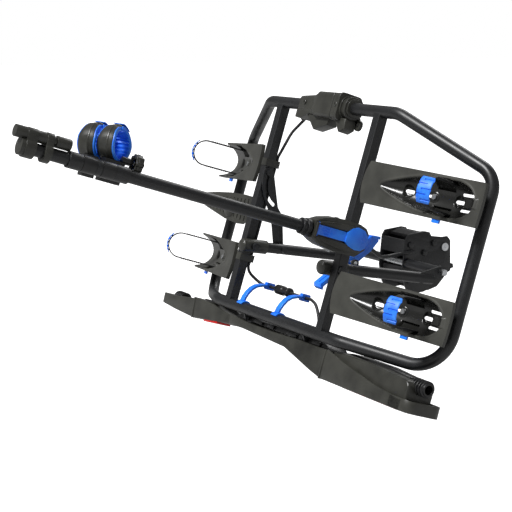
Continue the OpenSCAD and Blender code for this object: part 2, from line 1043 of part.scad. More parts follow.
module mast_rest() {
    color(plastic_dark)
        on_platform() {
            difference() {
                union() {
                    translate([0, 0, rest_z])
                        linear_extrude(3)
                            polygon([
                                [-rest_in, 12], [-rest_in - 54, 14], [-rest_in - 128, 12], [-rest_in - 200, 6],
                                [-rest_out + 14, -1], [-rest_out, -19], [-rest_out + 18, -37],
                                [-rest_in - 208, -45], [-rest_in - 128, -58], [-rest_in - 60, -63],
                                [-rest_in - 28, -61], [-rest_in, -44],
                            ]);
                    translate([-rest_in - 112, -26, rest_z])
                        rotate_extrude()
                            polygon([[0, 0], [26, 0], [26, 4], [20, 12], [8, 17], [0, 18]]);
                }
                for (u = [30:slat_step:230])
                    translate([-rest_in - u, 0, rest_z - 1])
                        linear_extrude(5) {
                            translate([0, -4 - u / 40])
                                square([5, 22 - u / 14], center = true);
                            translate([0, -46 + u / 20])
                                square([5, 20 - u / 14], center = true);
                        }
            }
            translate([-rest_in - 1, -44, rest_z])
                cube([rest_in + 1 - bar_out - seat_gap, 40, 3]);
            translate([-bar_out - seat_gap - 6, -44, rest_z])
                cube([6, 40, 20]);
            difference() {
                translate([-rest_out, -30, out_z - 4])
                    cube([12, 22, rest_z + 1 - out_z + 4]);
                translate([-out_x, 0, out_z])
                    rotate([90, 0, 0])
                        cylinder(h = 120, r = tube_r + seat_gap, center = true);
            }
        }
}

// Mast

module mast_foot() {
    foot_x = mast_x + 19;
    color(plastic_dark)
        on_platform()
            difference() {
                translate([0, -mast_y, 0])
                    along_x(mast_x - 19, foot_x)
                        polygon([
                            [-20, 104], [20, 104], [30, 84], [38, 52], [39, 29], [38, -13], [32, -32], [20, -42],
                            [-16, -40], [-36, -18], [-37, 32], [-32, 74], [-27, 90],
                        ]);
                translate([mast_x - bar_w / 2 - seat_gap, -200, -bar_w / 2 - seat_gap])
                    cube([bar_w + 2 * seat_gap, 400, bar_w + 2 * seat_gap]);
                translate([mast_x - 20, -200, -80])
                    cube([20 - bar_w / 2 + 0.5, 400, bar_w / 2 + 88]);
                translate([mast_x - 40, -mast_y - mast_r - 2, bar_w / 2 + 1])
                    cube([40, mast_d + 4, 120]);
                translate([mast_x - 1, -mast_y - mast_r - 2, bar_w / 2 + 1])
                    cube([mast_r + 3, mast_d + 4, fold_z + mast_r + 1 - bar_w / 2]);
                translate([mast_x, -mast_y, bar_w / 2 + 1])
                    cylinder(h = 120, d = mast_d + 4);
                translate([mast_x, -mast_y, fold_z])
                    rotate([90, 0, 0])
                        cylinder(h = 200, d = 10, center = true);
                translate([foot_x - 2.5, -mast_y - 12, -14])
                    cube([10, 28, 112]);
                translate([foot_x + 1.5, -mast_y + 2, 94])
                    rotate([90, 0, 0])
                        cylinder(h = 36, d = 3 + 2 * bolt_fit, center = true);
            }
}

module mast_tube() {
    color(steel_black)
        on_platform()
            difference() {
                translate([mast_x, -mast_y, fold_z])
                    union() {
                        cylinder(h = mast_h - fold_z, d = mast_d);
                        intersection() {
                            rotate([90, 0, 0])
                                cylinder(h = mast_d, d = mast_d, center = true);
                            translate([0, 0, -mast_r])
                                cylinder(h = mast_d, d = mast_d);
                        }
                    }
                translate([mast_x, -mast_y, fold_z + 24])
                    cylinder(h = mast_h, d = mast_d - 2 * wall_t);
                translate([mast_x, -mast_y, fold_z])
                    rotate([90, 0, 0])
                        cylinder(h = 60, d = 10 + 2 * bolt_fit, center = true);
            }
}

module fold_pin() {
    color(steel_bright)
        on_platform()
            translate([mast_x, -mast_y, fold_z])
                rotate([90, 0, 0])
                    cylinder(h = 80, d = 10, center = true);
}

module mast_sleeve() {
    color(steel_black)
        on_platform()
            translate([mast_x, -mast_y, 0])
                difference() {
                    union() {
                        difference() {
                            translate([0, 0, grip_z])
                                cylinder(h = grip_end - grip_z, d = grip_d);
                            for (z = clamp_bands)
                                translate([0, 0, z])
                                    cylinder(h = band_h + 2 * seat_gap, d = 2 * grip_d, center = true);
                        }
                        translate([0, 0, 108])
                            cylinder(h = 10, d = mast_d + 13);
                        translate([0, 0, 121])
                            cylinder(h = 8, d = mast_d + 10);
                        translate([0, 0, 108])
                            cylinder(h = 20, d = mast_d + 6);
                    }
                    translate([0, 0, 90])
                        cylinder(h = mast_h, d = mast_d);
                }
}

// Blue lever on the outside of the mast foot
module foot_lever() {
    lever_x = mast_x + 19;
    color(blue)
        on_platform()
            translate([0, -mast_y, 0])
                difference() {
                    union() {
                        along_x(lever_x - 1.5, lever_x + 4)
                            polygon([[-9, 96], [13, 96], [13, 2], [-9, 2]]);
                        along_x(lever_x + 1, lever_x + 7)
                            polygon([
                                [-9, 20], [13, 20], [25, 8], [30, -8], [27, -24], [16, -36], [2, -40], [-12, -35],
                                [-20, -24], [-21, -8], [-16, 10],
                            ]);
                        translate([lever_x + 1.5, 2, 94])
                            rotate([90, 0, 0]) {
                                cylinder(h = 22, d = 6, center = true);
                                cylinder(h = 34, d = 3, center = true);
                            }
                    }
                    for (k = [0:2])
                        translate([lever_x + 3, -5 + k * 6, 66])
                            cube([4, 2.4, 20]);
                }
}

module collar_half(z, h) {
    translate([mast_x, 0, z])
        difference() {
            union() {
                translate([0, -mast_y, 0])
                    cylinder(h = h, d = mast_d + 15);
                translate([0, top_barrel_y, 0])
                    cylinder(h = h, d = 27);
                translate([-14, -mast_y, 0])
                    cube([28, mast_y + top_barrel_y, h]);
            }
            translate([0, -mast_y, -1])
                cylinder(h = h + 2, d = mast_d);
        }
}

module barrel(z, h, d) {
    translate([mast_x, top_barrel_y, z])
        cylinder(h = h, d = d);
}

// Two collars and three barrels at the head, and the cap on the end of the mast
module mast_collars() {
    color(plastic_dark)
        on_platform() {
            collar_half(mast_h - 50, 15);
            collar_half(mast_h - 15, 22);
            barrel(mast_h - 90, 122, 18);
            barrel(mast_h - 89, 32, 25);
            barrel(mast_h - 36, 27, 25);
            barrel(mast_h + 5, 27, 25);
            translate([mast_x, -mast_y, mast_h - 16])
                difference() {
                    cylinder(h = 32, d = mast_d + 10);
                    translate([0, 0, -1])
                        cylinder(h = 17, d = mast_d);
                }
        }
}

// Turning knob on the stem of the lower clamp
module mast_knob() {
    color(plastic_dark)
        on_platform()
            translate([mast_x + knob_side, knob_y, knob_z])
                difference() {
                    cylinder(h = 18, d = 40);
                    for (k = [0:7])
                        rotate([0, 0, k * 45 + 22.5])
                            translate([23, 0, -1])
                                cylinder(h = 30, d = 12);
                    translate([0, 0, 8])
                        difference() {
                            cylinder(h = 12, d = 30);
                            cylinder(h = 30, d = 14, center = true);
                        }
                }
}

// Frame clamps, drawn round their own X axis

clamp_places = [[-74, 17, mast_h - 171], [-46, 23, mast_h - 201]];
clamp_bands = [mast_h - 136, mast_h - 180];
band_h = 30;
knob_side = -18;
knob_y = -6;
clamp_hinge = clamp_r - 1;
clamp_split = 364;

// Box from one corner to the other
module block(a, b) {
    translate(a)
        cube(b - a);
}

// Lug under the mast and beam to the ring, counted from the top of the mast
module clamp_neck(n) {
    translate([mast_x, 0, mast_h])
        if (n == 0) {
            block([-40, -59, -162], [-14, -14, -136]);
            block([-68, -46, -173], [-38, -16, -146]);
        }
        else {
            block([-42, -59, -222], [-14, -10, -178]);
            translate([knob_side, knob_y, -232])
                cylinder(h = 18, d = 16);
            block([knob_side - 8, -16, -222], [knob_side + 6, knob_y, -214]);
            translate([knob_side, knob_y, seat_gap - 240])
                cylinder(h = 12, d = 9);
        }
}

module clamp_band(n) {
    band_z = clamp_bands[n];
    color(plastic_dark)
        difference() {
            on_platform()
                difference() {
                    union() {
                        translate([mast_x, -mast_y, band_z])
                            cylinder(h = band_h - 0.4, d = grip_d + 0.6, center = true);
                        clamp_neck(n);
                    }
                    translate([mast_x, -mast_y, band_z]) {
                        cylinder(h = 90, d = mast_d + 2 * fit_gap, center = true);
                        for (side = [-1, 1])
                            translate([0, 0, side * (band_h / 2 + 40)])
                                cylinder(h = 80.4, d = grip_d + 2 * fit_gap, center = true);
                    }
                }
            on_clamp(n) {
                pin_x(-clamp_w / 2 - 0.5, clamp_w / 2 + 0.5, 2 * clamp_r + 2 * seat_gap);
                intersection() {
                    pin_x(-clamp_w / 2 - 0.5, clamp_w / 2 + 0.5, 2 * clamp_r + 1.2);
                    translate([-60, 2, -80])
                        cube([120, 80, 120]);
                }
            }
        }
}

module on_clamp(n) {
    on_platform()
        translate([mast_x + clamp_places[n][0], clamp_places[n][1], clamp_places[n][2]])
            rotate([0, clamp_tilt, clamp_turn])
                rotate([-90, 0, 0])
                    children();
}

// Part of a ring round X, from one angle to another, with its hinge at 180 degrees
module ring_part(from, to, inner, outer, w) {
    translate([-w / 2, 0, 0])
        rotate([0, 90, 0])
            rotate([0, 0, from])
                rotate_extrude(angle = to - from)
                    translate([inner, 0])
                        square([outer - inner, w]);
}

// Toothed rubber strip inside a ring part
module liner_part(from, to) {
    steps = floor((to - from - 12) / 13);
    difference() {
        ring_part(from, to, clamp_r - 13, clamp_r - 5, clamp_w - 3);
        for (k = [0:steps])
            rotate([from + 8 + k * 13 - 90, 0, 0])
                translate([-clamp_w, clamp_r - 14.5, -1.5])
                    cube([2 * clamp_w, 4.5, 3]);
    }
}

// Outline of the fixed half of a clamp, with the knuckle of its hinge
module shell_outline() {
    difference() {
        polygon([
            [0, 0],
            for (a = [clamp_split:-6:202]) clamp_r * [sin(a), -cos(a)],
            for (a = [160:-20:-60]) [5.2 * cos(a), clamp_hinge + 5.2 * sin(a)],
            [-3, clamp_r - 6],
        ]);
        circle(r = clamp_r - 5 + seat_gap);
        translate([0, clamp_hinge])
            circle(d = 4);
    }
}

// Narrows a claw towards its hinge
module narrowed() {
    intersection() {
        children();
        along_y(-80, 80)
            polygon([
                [-clamp_w / 2, -80], [clamp_w / 2, -80], [clamp_w / 2, 4], [12, clamp_r + 2], [12, clamp_r + 12],
                [-12, clamp_r + 12], [-12, clamp_r + 2], [-clamp_w / 2, 4],
            ]);
    }
}

module shell_part(n) {
    color(plastic_dark)
        on_clamp(n)
            difference() {
                narrowed()
                    along_x(-clamp_w / 2, clamp_w / 2)
                        shell_outline();
                translate([-5.3, -7.2, clamp_r - 12])
                    cube([10.6, 20, 40]);
            }
}

module jaw_part(n) {
    color(plastic_dark)
        on_clamp(n) {
            narrowed()
                ring_part(clamp_split + 6 - 360, 170, clamp_r - 5 + seat_gap, clamp_r, clamp_w);
            difference() {
                union() {
                    translate([0, 0, clamp_hinge])
                        pin_x(-5, 5, 11);
                    translate([-5, 3, clamp_hinge - 3])
                        cube([10, 8, 4]);
                }
                pin_x(-60, 60, 2 * clamp_r - 10 + 2 * seat_gap);
            }
            translate([0, 0, clamp_hinge])
                pin_x(-11, 11, 3.5);
        }
}

module clamp_liner(n) {
    color(blue)
        on_clamp(n)
            liner_part(194, clamp_split);
}

module jaw_liner(n) {
    color(blue)
        on_clamp(n)
            liner_part(clamp_split + 6 - 360, 168);
}

module clamp_band_one() {
    clamp_band(0);
}

module clamp_shell_one() {
    shell_part(0);
}

module clamp_liner_one() {
    clamp_liner(0);
}

module clamp_jaw_one() {
    jaw_part(0);
}

module jaw_liner_one() {
    jaw_liner(0);
}

module clamp_band_two() {
    clamp_band(1);
}

module clamp_shell_two() {
    shell_part(1);
}

module clamp_liner_two() {
    clamp_liner(1);
}

module clamp_jaw_two() {
    jaw_part(1);
}

module jaw_liner_two() {
    jaw_liner(1);
}

// Lamp board

bracket_x = [-130, 150];
bracket_y = board_y + seat_gap;

module board_brackets() {
    color(steel_black)
        on_platform()
            for (x = bracket_x)
                translate([x, 0, 0])
                    difference() {
                        union() {
                            along_x(-3, 3)
                                polygon([
                                    [-rear_y - 2, -tube_r + 1], [-rear_y - 2, -tube_r - 6], [bracket_y, -40],
                                    [bracket_y, -6], [-rear_y - tube_r, 4],
                                ]);
                            translate([-3, bracket_y, -38])
                                cube([26, 3, 30]);
                        }
                        translate([0, -rear_y, 0])
                            pin_x(-10, 10, tube_d);
                        translate([13, bracket_y - 1, -24])
                            rotate([-90, 0, 0])
                                cylinder(h = 5, d = 5);
                    }
}

panel_h = lamp_h + 20;

module panel_outline(inset) {
    polygon([
        [-panel_x + inset, board_y], [panel_x - inset, board_y], [panel_x - inset, board_back + inset],
        [205, board_back + 6 + inset], [80, board_mid_back + inset], [-80, board_mid_back + inset],
        [-205, board_back + 6 + inset], [-panel_x + inset, board_back + inset],
    ]);
}

module board_panel() {
    color(plastic_dark)
        on_platform()
            difference() {
                translate([0, 0, -panel_h])
                    linear_extrude(panel_h)
                        panel_outline(0);
                translate([0, 0, -panel_h - 2])
                    linear_extrude(panel_h + 2 - board_t)
                        intersection() {
                            panel_outline(board_t);
                            translate([-300, board_back])
                                square([600, board_y - board_back - board_t]);
                        }
                for (x = [-60, 60])
                    translate([x, board_mid_back, -60])
                        rotate([90, 0, 0])
                            cylinder(h = 20, d = 6, center = true);
            }
}

module unit_outline() {
    polygon([
        [unit_in, board_y + 4], [unit_x + 80, board_y - 1], [unit_x + 225, board_y - 19],
        [board_x - 6, board_y - 35], [board_x + 8, board_y - 50], [board_x - 20, board_back], [unit_in, board_back],
    ]);
}

module lamp_shells() {
    color(plastic_dark)
        on_platform()
            for (side = [-1, 1])
                mirror([side < 0 ? 1 : 0, 0, 0])
                    difference() {
                        translate([0, 0, -lamp_h])
                            linear_extrude(lamp_h)
                                unit_outline();
                        translate([0, 8, -lamp_h + board_t])
                            linear_extrude(lamp_h - 2 * board_t)
                                polygon([
                                    [unit_in + board_t, board_y + 20], [board_x + 30, board_y + 20],
                                    [board_x + 8, board_y - 52], [board_x - 22, board_back - 4],
                                    [unit_in + board_t, board_back - 4],
                                ]);
                    }
}

module lamp_outline(inset) {
    polygon([
        [unit_x + 76 + inset, board_y - 12], [unit_x + 92, board_y + 1 - inset / 2],
        [unit_x + 240, board_y - 4 - inset / 2], [unit_x + 300 - inset, board_y - 30],
        [unit_x + 300 - inset, board_back + 5], [unit_x + 76 + inset, board_back + 5],
    ]);
}

module lamp_bodies() {
    color(plastic_dark)
        on_platform()
            for (side = [-1, 1])
                mirror([side < 0 ? 1 : 0, 0, 0])
                    difference() {
                        translate([0, 0, -lamp_h + board_t + 6])
                            linear_extrude(lamp_h - 2 * board_t - 12)
                                lamp_outline(0);
                        translate([0, -4, -lamp_h + board_t + 9])
                            linear_extrude(lamp_h - 2 * board_t - 18)
                                lamp_outline(3);
                    }
}

module lamp_lenses() {
    color(lamp_red)
        on_platform()
            for (side = [-1, 1])
                mirror([side < 0 ? 1 : 0, 0, 0])
                    translate([0, 0, -lamp_h + 8])
                        linear_extrude(lamp_h - 16)
                            polygon([
                                [unit_x, board_back - seat_gap], [board_x - 30, board_back - seat_gap],
                                [board_x - 32, board_back - 2.6], [unit_x + 2, board_back - 2.6],
                            ]);
}

module cable_coils() {
    color(plastic_black)
        on_platform()
            for (side = [-1, 1])
                mirror([side < 0 ? 1 : 0, 0, 0])
                    translate([board_x - 22.4, board_y - 6.5, -lamp_h / 2])
                        turned_x([
                            for (k = [0:4])
                                each [[18, 9 * k - 20], [18, 9 * k - 16], [14, 9 * k - 15], [14, 9 * k - 11.5]],
                            [10, 24.5],
                            [10, -20],
                        ]);
}

module board_bolts() {
    color(steel_bright)
        on_platform()
            for (x = bracket_x)
                translate([x + 13, bracket_y, -24])
                    rotate([-90, 0, 0]) {
                        cylinder(h = 4, d = 5);
                        translate([0, 0, 3])
                            cylinder(h = 4, d = 9);
                    }
}

frame_front_tube();
frame_rear_tube();
frame_bars();
pivot_bolts();
arm_tubes();
arm_sleeves();
arm_caps();
cross_shaft();
shaft_spacers();
coupling_plates();
coupling_bolts();
ball_socket();
rest_pad();
ball_jaw();
jaw_pin();
release_rod();
tilt_pedal();
pedal_pin();
tilt_stay();
stay_bolt();
stay_pin();
wheel_trays_near();
wheel_trays_far();
tray_screws();
strap_loops();
strap_pads();
strap_tails();
front_housing();
housing_collars();
cable_left();
cable_right();
cable_clips();
plug();
cable_hooks();
mast_rest();
mast_foot();
mast_tube();
mast_sleeve();
fold_pin();
foot_lever();
mast_collars();
mast_knob();
clamp_band_one();
clamp_shell_one();
clamp_liner_one();
clamp_jaw_one();
jaw_liner_one();
clamp_band_two();
clamp_shell_two();
clamp_liner_two();
clamp_jaw_two();
jaw_liner_two();
board_brackets();
board_panel();
lamp_shells();
lamp_bodies();
lamp_lenses();
cable_coils();
board_bolts();
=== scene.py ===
import json
import math

import bpy
from mathutils import Matrix, Vector


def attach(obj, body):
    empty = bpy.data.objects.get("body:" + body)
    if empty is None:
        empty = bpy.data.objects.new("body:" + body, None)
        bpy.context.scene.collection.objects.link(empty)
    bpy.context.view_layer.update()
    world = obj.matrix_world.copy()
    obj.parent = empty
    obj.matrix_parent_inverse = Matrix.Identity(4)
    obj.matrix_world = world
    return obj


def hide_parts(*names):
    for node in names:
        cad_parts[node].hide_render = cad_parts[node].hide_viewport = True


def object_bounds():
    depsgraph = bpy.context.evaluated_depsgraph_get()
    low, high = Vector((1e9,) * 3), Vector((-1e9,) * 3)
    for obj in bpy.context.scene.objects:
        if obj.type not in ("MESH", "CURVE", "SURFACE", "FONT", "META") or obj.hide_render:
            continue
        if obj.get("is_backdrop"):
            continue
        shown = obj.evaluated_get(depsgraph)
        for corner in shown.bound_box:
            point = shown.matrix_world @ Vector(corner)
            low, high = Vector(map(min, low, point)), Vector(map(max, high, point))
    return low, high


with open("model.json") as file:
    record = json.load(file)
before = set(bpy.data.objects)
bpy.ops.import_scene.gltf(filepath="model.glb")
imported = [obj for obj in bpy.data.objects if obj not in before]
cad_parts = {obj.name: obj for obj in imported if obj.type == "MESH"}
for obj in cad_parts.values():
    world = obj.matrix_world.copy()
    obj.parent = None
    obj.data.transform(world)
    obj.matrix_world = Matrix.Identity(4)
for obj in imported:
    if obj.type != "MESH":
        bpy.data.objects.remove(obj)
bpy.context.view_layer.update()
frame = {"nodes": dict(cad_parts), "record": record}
nodes = frame["nodes"]

# The platform leans back by this angle, and its middle lies here from the tow ball, in millimetres
carrier = {"tilt": 72.5, "midY": -300.0, "midZ": 190.0}

mm = 0.001
onPlatform = (
    Matrix.Translation((0, carrier["midY"] * mm, carrier["midZ"] * mm))
    @ Matrix.Rotation(math.radians(carrier["tilt"]), 4, "X")
    @ Matrix.Scale(mm, 4)
)

# Materials

def linearColour(hexColour, alpha=1.0):
    parts = [int(hexColour[i:i + 2], 16) / 255 for i in (1, 3, 5)]
    return [p / 12.92 if p <= 0.04045 else ((p + 0.055) / 1.055) ** 2.4 for p in parts] + [alpha]


def wire(owner, node, links):  # a source is one of a node's outputs, or a node, whose first output is meant
    for key, source in links.items():
        output = source.outputs[0] if hasattr(source, "outputs") else source
        owner.node_tree.links.new(output, node.inputs[key])


def addNode(owner, kind, settings=None, links=None):  # settings are properties, sockets' values or a ramp's stops
    node = owner.node_tree.nodes.new("ShaderNode" + kind)
    for key, value in (settings or {}).items():
        if key == "stops":
            while len(node.color_ramp.elements) < len(value):
                node.color_ramp.elements.new(0.5)
            for element, (position, colour) in zip(node.color_ramp.elements, value):
                element.position = position
                element.color = linearColour(colour) if isinstance(colour, str) else (colour, colour, colour, 1)
        elif key in node.inputs.keys() and not hasattr(node, key):
            node.inputs[key].default_value = value
        else:
            setattr(node, key, value)
    wire(owner, node, links or {})
    return node


def startMaterial(name, **sockets):
    material = bpy.data.materials.new(name)
    material.use_nodes = True
    shader = material.node_tree.nodes["Principled BSDF"]
    for key, value in sockets.items():
        shader.inputs[key.replace("_", " ")].default_value = value
    return material, shader, addNode(material, "TexCoord").outputs["Object"]


def grains(sizeInMm, detail):  # a noise whose grains are about this many millimetres across
    return {"Scale": 1000 / sizeInMm, "Detail": detail}


def relief(strength, depthInMm):
    return {"Strength": strength, "Distance": depthInMm * mm}


def powderCoatedSteel():
    # Satin black powder coat on mild steel: orange peel 2 mm across and a fine mica sparkle, which is
    # drawn 0.9 mm across so that it shows
    material, shader, place = startMaterial(
        "powderCoatedSteel", Metallic=0.0, Coat_Weight=0.15, Coat_Roughness=0.35)
    sparkle = addNode(material, "TexNoise", grains(0.9, 1.0), {"Vector": place})
    peel = addNode(material, "TexNoise", grains(2.2, 2.0), {"Vector": place})
    worn = addNode(material, "TexNoise", grains(60, 3.0), {"Vector": place})
    flakes = {"stops": [(0.0, "#08080a"), (0.6, "#101113"), (0.7, "#2a2c30"), (0.78, "#5c6066")]}
    fine = addNode(material, "Bump", relief(0.25, 0.08), {"Height": sparkle})
    wire(material, shader, {
        "Base Color": addNode(material, "ValToRGB", flakes, {"Fac": sparkle}),
        "Roughness": addNode(material, "ValToRGB", {"stops": [(0.3, 0.36), (0.7, 0.5)]}, {"Fac": worn}),
        "Normal": addNode(material, "Bump", relief(0.3, 0.12), {"Height": peel, "Normal": fine}),
    })
    return material


def mouldedPlastic(name, dark, light, shine, grain=1.1, strength=0.3):
    # Glass-filled plastic out of a spark-eroded mould: fine even grain, soft wide highlight. The grain of
    # a real mould is finer, and about 1 mm is what shows.
    material, shader, place = startMaterial(name, Metallic=0.0)
    cloud = addNode(material, "TexNoise", grains(45, 3.0), {"Vector": place})
    fleck = addNode(material, "TexNoise", grains(grain, 1.0), {"Vector": place})
    mixed = addNode(material, "Math", {"operation": "MULTIPLY_ADD"}, {0: fleck, 1: cloud, 2: cloud})
    gloss = {"stops": [(0.3, shine - 0.05), (0.7, shine + 0.06)]}
    wire(material, shader, {
        "Base Color": addNode(material, "ValToRGB", {"stops": [(0.35, dark), (1.0, light)]}, {"Fac": mixed}),
        "Roughness": addNode(material, "ValToRGB", gloss, {"Fac": cloud}),
        "Normal": addNode(material, "Bump", relief(strength, 0.1), {"Height": fleck}),
    })
    return material


def trayPlastic():
    # Vacuum-formed ABS: the plate keeps a fine leather grain, and the deep-drawn hollow is stretched
    # smooth and glossy, with a darker colour painted in as painted shade, by the share that each point's hollow
    # value gives
    material, shader, place = startMaterial("vacuumFormedAbs", Metallic=0.0)
    cloud = addNode(material, "TexNoise", grains(50, 3.0), {"Vector": place})
    grain = addNode(material, "TexNoise", grains(1.3, 2.0), {"Vector": place})
    share = addNode(material, "Attribute", {"attribute_name": "drawn"}).outputs["Fac"]
    plate = addNode(material, "ValToRGB", {"stops": [(0.25, "#2f2f2b"), (0.75, "#44443f")]}, {"Fac": cloud})
    # painted shade: this darker colour of the hollow stands in for the shade inside it
    drawn = addNode(material, "ValToRGB", {"stops": [(0.25, "#151514"), (0.75, "#232321")]}, {"Fac": cloud})
    colour = addNode(material, "Mix", {"data_type": "RGBA"}, {0: share, 6: plate, 7: drawn})  # factor, A and B
    wire(material, shader, {
        "Base Color": colour.outputs[2],
        "Roughness": addNode(material, "ValToRGB", {"stops": [(0.0, 0.44), (1.0, 0.26)]}, {"Fac": share}),
        "Normal": addNode(material, "Bump", relief(0.25, 0.1), {"Height": grain}),
    })
    return material


def zincPlatedSteel():
    # Bright zinc plate on turned steel: fine tool marks round the part and a few duller patches
    material, shader, place = startMaterial("zincPlatedSteel", Metallic=1.0)
    marks = addNode(material, "Mapping", {"Scale": (1, 12, 12)}, {"Vector": place})
    lines = addNode(material, "TexNoise", grains(4.0, 3.0), {"Vector": marks})
    patch = addNode(material, "TexNoise", grains(9, 3.0), {"Vector": place})
    wire(material, shader, {
        "Base Color": addNode(material, "ValToRGB", {"stops": [(0.3, "#b9bcc0"), (0.7, "#dfe1e3")]}, {"Fac": patch}),
        "Roughness": addNode(material, "ValToRGB", {"stops": [(0.3, 0.18), (0.7, 0.34)]}, {"Fac": lines}),
        "Normal": addNode(material, "Bump", relief(0.2, 0.03), {"Height": lines}),
    })
    return material


def rubber(name, dark, light, shine=0.6):
    # Extruded elastomer: a dusty, dry and even surface with a fine grain
    material, shader, place = startMaterial(name, Metallic=0.0)
    dust = addNode(material, "TexNoise", grains(14, 4.0), {"Vector": place})
    grain = addNode(material, "TexNoise", grains(0.8, 2.0), {"Vector": place})
    gloss = {"stops": [(0.3, shine - 0.08), (0.7, shine + 0.08)]}
    wire(material, shader, {
        "Base Color": addNode(material, "ValToRGB", {"stops": [(0.3, dark), (0.75, light)]}, {"Fac": dust}),
        "Roughness": addNode(material, "ValToRGB", gloss, {"Fac": grain}),
        "Normal": addNode(material, "Bump", relief(0.35, 0.08), {"Height": grain}),
    })
    return material


def lensPlastic():
    # Red acrylic lens, with the prisms of its inner face showing as fine bands. A wave is 314.16 mm long at
    # scale 1, so that these are 5.655 mm apart.
    material, shader, place = startMaterial("lensAcrylic", Metallic=0.0, Roughness=0.12, Coat_Weight=0.4)
    wave = addNode(material, "TexWave", {"Scale": 314.16 / 5.655, "Distortion": 0.3}, {"Vector": place})
    bands = wave.outputs["Fac"]
    wire(material, shader, {
        "Base Color": addNode(material, "ValToRGB", {"stops": [(0.2, "#8e0f0c"), (0.8, "#e8231b")]}, {"Fac": bands}),
        "Normal": addNode(material, "Bump", relief(0.4, 0.3), {"Height": bands}),
    })
    return material


finish = {
    "black_steel": powderCoatedSteel(),
    "bright_steel": zincPlatedSteel(),
    "dark_plastic": mouldedPlastic("polypropyleneGrey", "#242421", "#383833", 0.36),
    "tray_plastic": trayPlastic(),
    "black_plastic": mouldedPlastic("nylonBlack", "#121213", "#1d1d1e", 0.36),
    "blue_plastic": mouldedPlastic("acetalBlue", "#0a63f0", "#2f8bff", 0.3, 1.4, 0.12),
    "black_rubber": rubber("rubberBlack", "#0d0d0e", "#18181a"),
    "blue_rubber": rubber("elastomerBlue", "#0f6af2", "#3d93ff", 0.45),
    "red_lens": lensPlastic(),
}

slotOf = {part["node"]: part["material_slot"] for part in frame["record"]["subparts"]}
for nodeName, node in nodes.items():
    node.data.materials.clear()
    node.data.materials.append(finish[slotOf[nodeName]])
print("materials done")

# Modelling, in platform millimetres until a piece is placed

def activate(piece):
    bpy.ops.object.select_all(action="DESELECT")
    piece.select_set(True)
    bpy.context.view_layer.objects.active = piece


def editAll(piece, *steps):  # each step is an operator that acts on the whole mesh
    activate(piece)
    bpy.ops.object.mode_set(mode="EDIT")
    for step in steps:
        bpy.ops.mesh.select_all(action="SELECT")
        step()
    bpy.ops.object.mode_set(mode="OBJECT")


def mergeDoubles():
    bpy.ops.mesh.remove_doubles(threshold=0.0001)


def faceOutwards():
    bpy.ops.mesh.normals_make_consistent(inside=False)


def applyModifier(piece, kind, **settings):
    activate(piece)
    modifier = piece.modifiers.new(kind.lower(), kind)
    for key, value in settings.items():
        setattr(modifier, key, value)
    bpy.ops.object.modifier_apply(modifier=modifier.name)


def smoothByAngle(piece, degrees=35):
    activate(piece)
    bpy.ops.object.shade_smooth_by_angle(angle=math.radians(degrees))


def bevelled(piece, width, segments=2, angle=30, clamped=False):
    applyModifier(piece, "BEVEL", width=width, segments=segments, limit_method="ANGLE",
                  angle_limit=math.radians(angle), use_clamp_overlap=clamped)


def shifted(piece, x, y, z):
    piece.data.transform(Matrix.Translation((x, y, z)))
    return piece


def placed(piece, place):  # the place goes into the mesh, so the object stays at the origin
    piece.data.transform(place)
    if place.determinant() < 0:
        editAll(piece, bpy.ops.mesh.flip_normals)
    piece.data.update()


def dress(piece, material, body, instead=()):
    piece.data.materials.clear()
    piece.data.materials.append(finish[material])
    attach(piece, body)
    if instead:
        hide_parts(*instead)


def newPiece(name, addPrimitive, **settings):
    bpy.ops.object.select_all(action="DESELECT")
    addPrimitive(**settings)
    piece = bpy.context.object
    piece.name = piece.data.name = name
    return piece


def flatFace(name, corners):
    piece = newPiece(name, bpy.ops.mesh.primitive_circle_add, vertices=len(corners), fill_type="NGON")
    for vertex, corner in zip(piece.data.vertices, corners):
        vertex.co = corner
    return piece


def slab(name, outline, thickness, edge=0.0, segments=2):  # flat outline raised along z, edges softened
    piece = flatFace(name, [(x, y, 0) for x, y in outline])
    raised = {"value": (0, 0, thickness)}
    editAll(piece, lambda: bpy.ops.mesh.extrude_region_move(TRANSFORM_OT_translate=raised), faceOutwards)
    if edge:
        bevelled(piece, edge, segments)
    return piece


def alongX(name, outline, low, high, edge=0.0, segments=2):  # outline in (y, z), raised along x
    piece = slab(name, outline, high - low, edge, segments)
    piece.data.transform(Matrix(((0, 0, 1, low), (1, 0, 0, 0), (0, 1, 0, 0), (0, 0, 0, 1))))
    return piece


def spun(name, profile, start, end, steps):  # (x, r) outline swept round x, from the angle start to end
    low, turn = math.radians(start), math.radians(end - start)
    piece = flatFace(name, [(x, r * math.sin(low), -r * math.cos(low)) for x, r in profile])
    if end - start == 360:
        editAll(piece, lambda: bpy.ops.mesh.delete(type="ONLY_FACE"))
    editAll(piece, lambda: bpy.ops.mesh.spin(steps=steps, angle=turn, center=(0, 0, 0), axis=(1, 0, 0)),
            mergeDoubles, faceOutwards)
    return piece


def joined(name, pieces):
    bpy.ops.object.select_all(action="DESELECT")
    for piece in pieces:
        piece.select_set(True)
    bpy.context.view_layer.objects.active = pieces[0]
    if len(pieces) > 1:
        bpy.ops.object.join()
    pieces[0].name = pieces[0].data.name = name
    return pieces[0]


def copyOf(piece, name):
    twin = piece.copy()
    twin.data = piece.data.copy()
    twin.name = twin.data.name = name
    twin.parent = None
    for key in list(twin.keys()):
        del twin[key]
    bpy.context.scene.collection.objects.link(twin)
    return twin


def cutOut(piece, cutter):
    applyModifier(piece, "BOOLEAN", operation="DIFFERENCE", object=cutter, solver="EXACT")
    bpy.data.objects.remove(cutter)


def ring(radius, count, middleX=0.0, middleY=0.0):
    turns = [2 * math.pi * k / count for k in range(count)]
    return [(middleX + radius * math.cos(a), middleY + radius * math.sin(a)) for a in turns]


